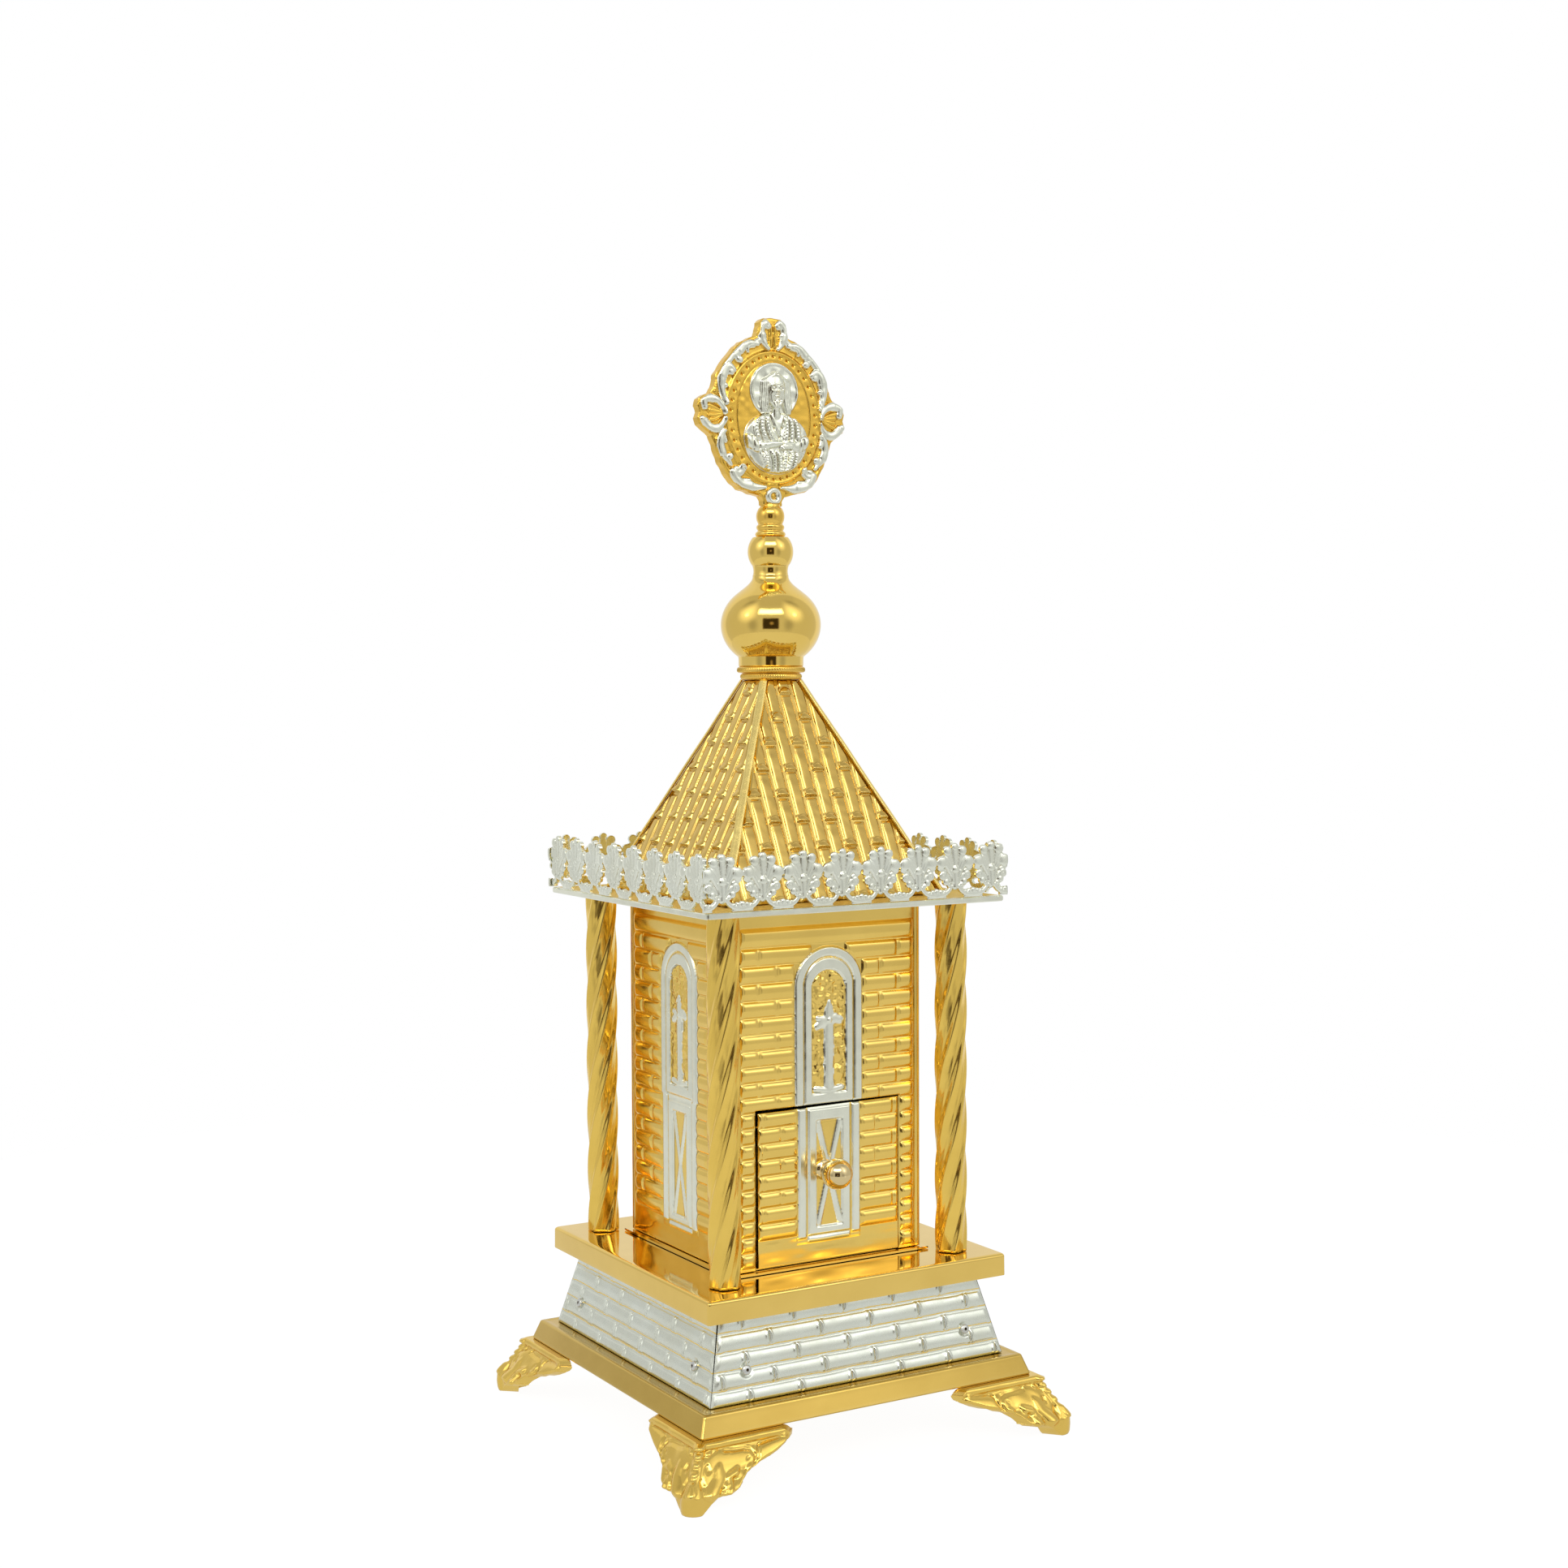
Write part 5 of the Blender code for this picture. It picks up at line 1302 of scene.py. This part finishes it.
def medallion_ground(x, y, margin):
    """Rounded rim, raised oval with an edge, a groove and a ring of small pits."""
    outer = np.hypot(x / 25.2, y / 30.2)
    inner = np.hypot(x / 19.1, y / 25.2)
    height = 0.5 * dome(margin, 1.4)
    height += 1.0 * smooth((1 - outer) * 25, -0.3, 0.9)
    height += 0.3 * bell((outer - 0.985) * 26, 0.7)
    height -= 0.35 * bell((inner - 1) * 21, 0.28)
    for i in range(38):
        angle = math.tau * (i + 0.5) / 38
        pit = np.hypot(x - 22.1 * math.cos(angle), y - 27.6 * math.sin(angle))
        height -= 1.15 * bell(pit, 0.58)
    return height


def fitted(table, sign):
    """Rows of a half table placed on the right (1) or left (-1) half and thickened."""
    return [([(sign * x * 0.965, y * 0.98, 1.42 * radius) for x, y, radius in path], *shape)
            for path, *shape in table]


def border(x, y):
    """Gold and silvered relief round the figure, with a ring boss at the bottom."""
    gold, silver = Field(x, y), Field(x, y)
    for sign in (-1, 1):
        silver.draw(fitted(LEAVES, sign))
        gold.draw(fitted(RIBS, sign))
        for bead_x, bead_y, radius, height, dish in BEADS:
            silver.stroke(dot(sign * bead_x, bead_y, radius), height, base=0.5, dish=dish)
    distance = np.hypot(x, y + 35.3)
    ring = 1.45 - np.abs(distance - 2.75)
    silver.height = np.maximum(silver.height, dome(ring, 1.3) * 1.9)
    silver.include(ring)
    centre = np.sqrt(np.clip(1 - (distance / 1.4) ** 2, 0, 1))
    gold.height = np.maximum(gold.height, 0.7 * centre)
    return gold, silver


def robed_bust(x, y, oval, gap):
    """Height of the robed bust; oval is 1 on its egg-shaped outline, gap is inside it."""
    robe = Field(x, y)
    robe.height = (oval < 1) * (0.7 + 1.5 * np.sqrt(np.clip(1 - oval ** 3, 0, 1)))
    robe.draw([(curve((x0 * 0.72 + 0.6, 1.0 - 0.05 * abs(x0)), (x0, -4.5), (x1 + 1.0, -11.0),
                      radius * 0.8, radius), 0.55) for x0, x1, radius in MANTLE], add=True)
    robe.draw(MANTLE_OPENING, add=True)
    robe.draw(ARMS)
    fingers = [([(4.2 - 0.3 * i, -11.0 - 1.05 * i, 0.5), (8.2 - 0.2 * i, -10.6 - 1.05 * i, 0.6)],
                0.5) for i in range(4)]
    cuffs = [([(x0, -9.6, 0.7), (x0 + 0.6, -14.6, 0.7)], -0.45, 0, 1.0)
             for x0 in (-12.4, -9.6, 12.0, 14.0)]
    folds = [(curve((x0, -15.6), ((x0 + x1) / 2 + 1.2, -19.6), (x1, -26.0),
                    1.1 + 0.1 * (i % 3), 1.4), height)
             for i, (x0, x1, height) in enumerate(ROBE)]
    robe.draw(fingers + cuffs + folds, add=True)
    return robe.height * smooth(gap, 0.0, 0.9)


def on_head(path, sign=1):
    """Path given from the head's centre; sign -1 mirrors it."""
    return [(HEAD_X + sign * x, HEAD_Y + y, radius) for x, y, radius in path]


def draw_head(figure):
    """Hair, then face, then beard and neck."""
    for sign in (-1, 1):
        for j in range(4):
            out = 4.1 + 0.95 * j
            lock = [(0.6 + 0.7 * j, 7.4 - 0.5 * j, 0.9), (out - 0.3, 3.2, 1.0),
                    (out, -2.2, 1.0), (out + 0.5, -7.2, 1.0), (out + 1.5 - 0.4 * j, -10.2, 0.8)]
            figure.stroke(on_head(lock, sign), height=1.35 - 0.2 * j, base=0.7, power=0.8)
    # the head is 5 wide to 7 high
    oval = np.hypot((figure.x - HEAD_X) / (HEAD_HALF * 5 / 7),
                    (figure.y - HEAD_Y - 0.6) / HEAD_HALF)
    skull = np.sqrt(np.clip(1 - oval * oval, 0, 1)) * 2.3 + 1.1 * (oval < 1)
    figure.height = np.maximum(figure.height, skull)
    for sign in (-1, 1):
        eye_x, eye_y = HEAD_X + sign * EYE_X, HEAD_Y + EYE_Y
        brow = [(0.9, EYE_Y + 1.3, 0.42), (2.0, EYE_Y + 1.65, 0.42), (2.9, EYE_Y + 1.2, 0.35)]
        figure.draw([(on_head(brow, sign), 0.34),
                     (dot(eye_x, eye_y, 1.15), -0.75),                              # socket
                     (dot(eye_x, eye_y, 0.62), 0.34),                               # eye
                     (dot(HEAD_X + sign * 2.3, HEAD_Y - 1.2, 1.2), 0.22)], add=True)   # cheek
    # nose, lips and the line under them
    figure.draw([
        (on_head([(0, 1.6, 0.5), (0, -0.9, 0.7), (0, -1.4, 0.95)]), 0.95),
        (on_head([(-1.15, -3.2, 0.36), (0, -3.0, 0.42), (1.15, -3.2, 0.36)]), 0.45),
        (on_head([(-1.1, -3.65, 0.25), (1.1, -3.65, 0.25)]), -0.3)], add=True)
    for sign in (-1, 1):
        beard_side = [(3.2, -2.0, 0.9), (2.4, -5.4, 1.3), (0, -8.6, 1.5)]
        figure.stroke(on_head(beard_side, sign), height=2.0, base=0.7)
    figure.stroke(on_head([(0, -4.9, 1.5), (0, -8.4, 1.6)]), height=2.1, base=0.7)
    figure.draw([(on_head([(x, -5.2, 0.32), (x * 0.8, -8.2, 0.38)]), 0.35)
                 for x in (-1.6, -0.5, 0.6, 1.7)], add=True)
    neck_path = [(HEAD_X - 0.2, HEAD_Y - 9.4, 1.9), (0.8, 0.4, 2.2)]
    figure.stroke(neck_path, height=1.3, base=0.9)


def bust_figure(x, y):
    """Halo with rays, robed bust and bearded head."""
    figure = Field(x, y)
    halo_x, halo_y, halo_radius = 0.2, 12.2, 12.7
    distance = np.hypot(x - halo_x, y - halo_y)
    angle = np.arctan2(y - halo_y, x - halo_x)
    halo = (0.55 + 0.35 * bell(distance - halo_radius + 0.9, 0.5)
            + 0.13 * np.cos(9 * angle + 0.4) * smooth(distance, 6.5, 8.5))
    figure.height = np.maximum(0, halo * smooth(halo_radius - distance, 0, 0.35))
    figure.include(halo_radius - distance)
    oval = np.hypot((x - 1.0) / 16.8, (y + 9.0) / np.where(y > -9.0, 11.4, 16.6))
    gap = (1 - oval) * 15
    robe = robed_bust(x, y, oval, gap)
    figure.height = np.where(gap > 0, np.maximum(figure.height * (gap < 1.0), robe),
                             figure.height)
    figure.include(gap)
    draw_head(figure)
    return figure


def medallion():
    x, y = np.meshgrid(np.arange(-39.4, 39.5, MEDALLION_STEP),
                       np.arange(-40.2, 45.6, MEDALLION_STEP))
    scalloped = outline_margin(x, y) + 0.35 * value_noise(x, y, 2.6, 201)
    x, y, keep = snap(x, y, scalloped, MEDALLION_STEP)
    margin = np.clip(outline_margin(x, y), 0, None)
    gold, silver = border(x, y)
    figure = bust_figure(x, y)
    silver.include(figure.margin)
    figure_height = figure.height + 0.05 * value_noise(x, y, 1.4, 205)
    relief = np.maximum(np.maximum(gold.height, silver.height),
                        np.where(figure.margin > 0, figure_height, 0))
    relief += value_noise(x, y, 2.2, 206) * 0.10
    plate = smooth(silver.margin, -0.15, 0.25) * smooth(margin, 0.25, 0.7)
    height = medallion_ground(x, y, margin) + relief * smooth(margin, 0, 0.5)
    z = y + MEDALLION_Z
    obj = sheet("relief_medallion", points(x, FACE_Y - height, z),
                points(x, MEDALLION_BACK, z), MEDALLION_GILT, keep=keep, plate=plate)
    place(obj, "medallion")


medallion()

# ------------------------------------------------------------------ carried-over parts
KEPT_MATERIALS = {"skirt_frame": EDGE_GILT, "box_floor": PLATE_GILT, "drawer_tray": TRAY_GILT,
                  "drawer_sleeve": TRAY_GILT, "centre_rod": BARE_STEEL,
                  "centre_nut": BARE_STEEL, "knob_screw": BARE_STEEL}
for name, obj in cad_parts.items():
    material = BARE_STEEL if name.startswith("tie_rod") else KEPT_MATERIALS.get(name)
    if material is None:
        continue
    slots = obj.data.materials
    if slots:
        for i in range(len(slots)):
            slots[i] = material
    else:
        slots.append(material)

# ------------------------------------------------------------------ floor
FLOOR_RADIUS, FLOOR_Z, FLOOR_SEGMENTS = 0.78, -0.0002, 96       # metres
FLOOR_GLOW, FLOOR_GLOW_SEEN = 0.66, 0.955       # light it gives, and as the camera sees it


def studio_floor():
    material = bpy.data.materials.new("studio_floor")
    material.use_nodes = True
    tree = material.node_tree
    surface = tree.nodes["Principled BSDF"]
    for key, value in (("Base Color", (0.09, 0.09, 0.09, 1)), ("Roughness", 0.7),
                       ("Specular IOR Level", 0.0), ("Emission Color", (1, 1, 1, 1))):
        surface.inputs[key].default_value = value
    seen = add_node(tree, "LightPath").outputs["Is Camera Ray"]
    glow = mix_float(tree, seen, FLOOR_GLOW, FLOOR_GLOW_SEEN)
    tree.links.new(glow, surface.inputs["Emission Strength"])
    mesh = bpy.data.meshes.new("floor")
    angles = [math.tau * i / FLOOR_SEGMENTS for i in range(FLOOR_SEGMENTS)]
    ring = [(FLOOR_RADIUS * math.cos(a), FLOOR_RADIUS * math.sin(a), FLOOR_Z) for a in angles]
    mesh.from_pydata(ring, [], [tuple(range(FLOOR_SEGMENTS))])
    mesh.materials.append(material)
    floor = bpy.data.objects.new("floor", mesh)
    bpy.context.scene.collection.objects.link(floor)


studio_floor()

# ------------------------------------------------------------------ camera
AZIMUTH = math.radians(-30.422)             # from the front, towards the left side
CAMERA_DISTANCE, CAMERA_HEIGHT = 0.99098, 0.33086       # metres
CAMERA_PITCH, CAMERA_ROLL, CAMERA_YAW = (math.radians(a) for a in (2.401, -0.275, 0.328))


def camera():
    level = Vector((-math.sin(AZIMUTH), math.cos(AZIMUTH), 0))
    forward = level * math.cos(CAMERA_PITCH) + Vector((0, 0, -1)) * math.sin(CAMERA_PITCH)
    right = Vector((math.cos(AZIMUTH), math.sin(AZIMUTH), 0))
    up = right.cross(forward)
    rolled = right * math.cos(CAMERA_ROLL) + up * math.sin(CAMERA_ROLL)
    up = -right * math.sin(CAMERA_ROLL) + up * math.cos(CAMERA_ROLL)
    right = rolled * math.cos(CAMERA_YAW) - forward * math.sin(CAMERA_YAW)
    forward = forward * math.cos(CAMERA_YAW) + rolled * math.sin(CAMERA_YAW)
    data = bpy.data.cameras.new("camera")
    obj = bpy.data.objects.new("camera", data)
    bpy.context.scene.collection.objects.link(obj)
    matrix = Matrix((right, up, -forward)).transposed().to_4x4()
    matrix.translation = Vector((CAMERA_DISTANCE * math.sin(AZIMUTH),
                                 -CAMERA_DISTANCE * math.cos(AZIMUTH), CAMERA_HEIGHT))
    obj.matrix_world = matrix
    data.sensor_width = 36
    data.lens = 49.86
    data.clip_start, data.clip_end = 0.05, 50
    bpy.context.scene.camera = obj


camera()


# ------------------------------------------------------------------ studio
def studio():
    """World light in degrees about the box: turn is 0 towards the camera, rise is 0 level.
    The camera itself sees plain white."""
    scene = bpy.context.scene
    scene.view_settings.view_transform = 'Standard'
    world = bpy.data.worlds.new("studio")
    scene.world = world
    world.use_nodes = True
    tree = world.node_tree
    tree.nodes.clear()
    output = add_node(tree, "OutputWorld")
    direction = add_node(tree, "TexCoord").outputs["Generated"]

    def calc(operation, *values):
        return add_node(tree, "Math", dict(enumerate(values)), operation=operation).outputs[0]

    def along(vector):
        inputs = {0: direction, 1: vector}
        return add_node(tree, "VectorMath", inputs, operation='DOT_PRODUCT').outputs["Value"]

    def ramp(value, low, high, start=0.0, end=1.0):
        return map_range(tree, value, low, high, start, end, 'SMOOTHSTEP')

    to_camera = (math.sin(AZIMUTH), -math.cos(AZIMUTH), 0.0)
    to_right = (math.cos(AZIMUTH), math.sin(AZIMUTH), 0.0)
    degrees = 180 / math.pi
    turn_angle = calc('MULTIPLY', calc('ARCTAN2', along(to_right), along(to_camera)), degrees)
    rise = calc('MULTIPLY', calc('ARCSINE', along((0, 0, 1))), degrees)

    def blob(centre, radii, soft):
        """Soft ellipse; centre and radii are (turn, rise)."""
        a = calc('DIVIDE', calc('SUBTRACT', turn_angle, centre[0]), radii[0])
        b = calc('DIVIDE', calc('SUBTRACT', rise, centre[1]), radii[1])
        distance = calc('SQRT', calc('ADD', calc('MULTIPLY', a, a), calc('MULTIPLY', b, b)))
        return ramp(distance, 1.0 + soft, 1.0 - soft)

    def panel(centre, half, soft):
        """Soft rectangle; centre and half sizes are (turn, rise)."""
        a, b = (ramp(calc('ABSOLUTE', calc('SUBTRACT', angle, middle)), size + soft, size - soft)
                for angle, middle, size in zip((turn_angle, rise), centre, half))
        return calc('MULTIPLY', a, b)

    def change(value, operation, mask, strength):
        return calc(operation, value, calc('MULTIPLY', mask, strength))

    # room, brighter behind the box and dimmer overhead
    value = ramp(calc('ABSOLUTE', turn_angle), 122.0, 132.0, 0.63, 0.84)
    value = calc('ADD', value, ramp(rise, 50.0, 60.0, 0.0, -0.06))
    # dark and bright patches on both sides: operation, turn, rise, radii, softness, strength
    patches = (('SUBTRACT', 42.0, -3.0, (10.0, 16.0), 0.8, 0.20),
               ('SUBTRACT', 76.0, 50.0, (15.0, 13.0), 0.7, 0.26),
               ('ADD', 61.0, 34.0, (18.0, 19.0), 0.95, 0.85),
               ('ADD', 61.0, 26.0, (4.0, 4.0), 0.9, 1.6))
    for sign in (-1, 1):
        for operation, middle, height, radii, soft, strength in patches:
            mask = blob((sign * middle, height), radii, soft)
            value = change(value, operation, mask, strength)
    # long light above the camera
    value = change(value, 'ADD', panel((0.0, 39.0), (32.0, 7.0), soft=4.0), 4.6)
    # dark, warm area behind the camera with a small spot in it
    dark = panel((0.0, 1.0), (18.5, 17.0), soft=2.5)
    value = calc('MULTIPLY', value, calc('SUBTRACT', 1.0, calc('MULTIPLY', dark, 0.93)))
    value = change(value, 'ADD', blob((2.0, 2.0), (4.0, 4.0), soft=0.8), 0.35)
    tint = mix_colour(tree, dark, (1.0, 0.995, 0.985, 1), (1.0, 0.72, 0.45, 1))
    room = add_node(tree, "Background", {"Color": tint, "Strength": value})
    white = add_node(tree, "Background", {"Color": (1, 1, 1, 1), "Strength": 1.0})
    seen = add_node(tree, "LightPath").outputs["Is Camera Ray"]
    shader = add_node(tree, "MixShader", {0: seen, 1: room.outputs[0], 2: white.outputs[0]})
    tree.links.new(shader.outputs[0], output.inputs["Surface"])


studio()

bpy.context.view_layer.update()
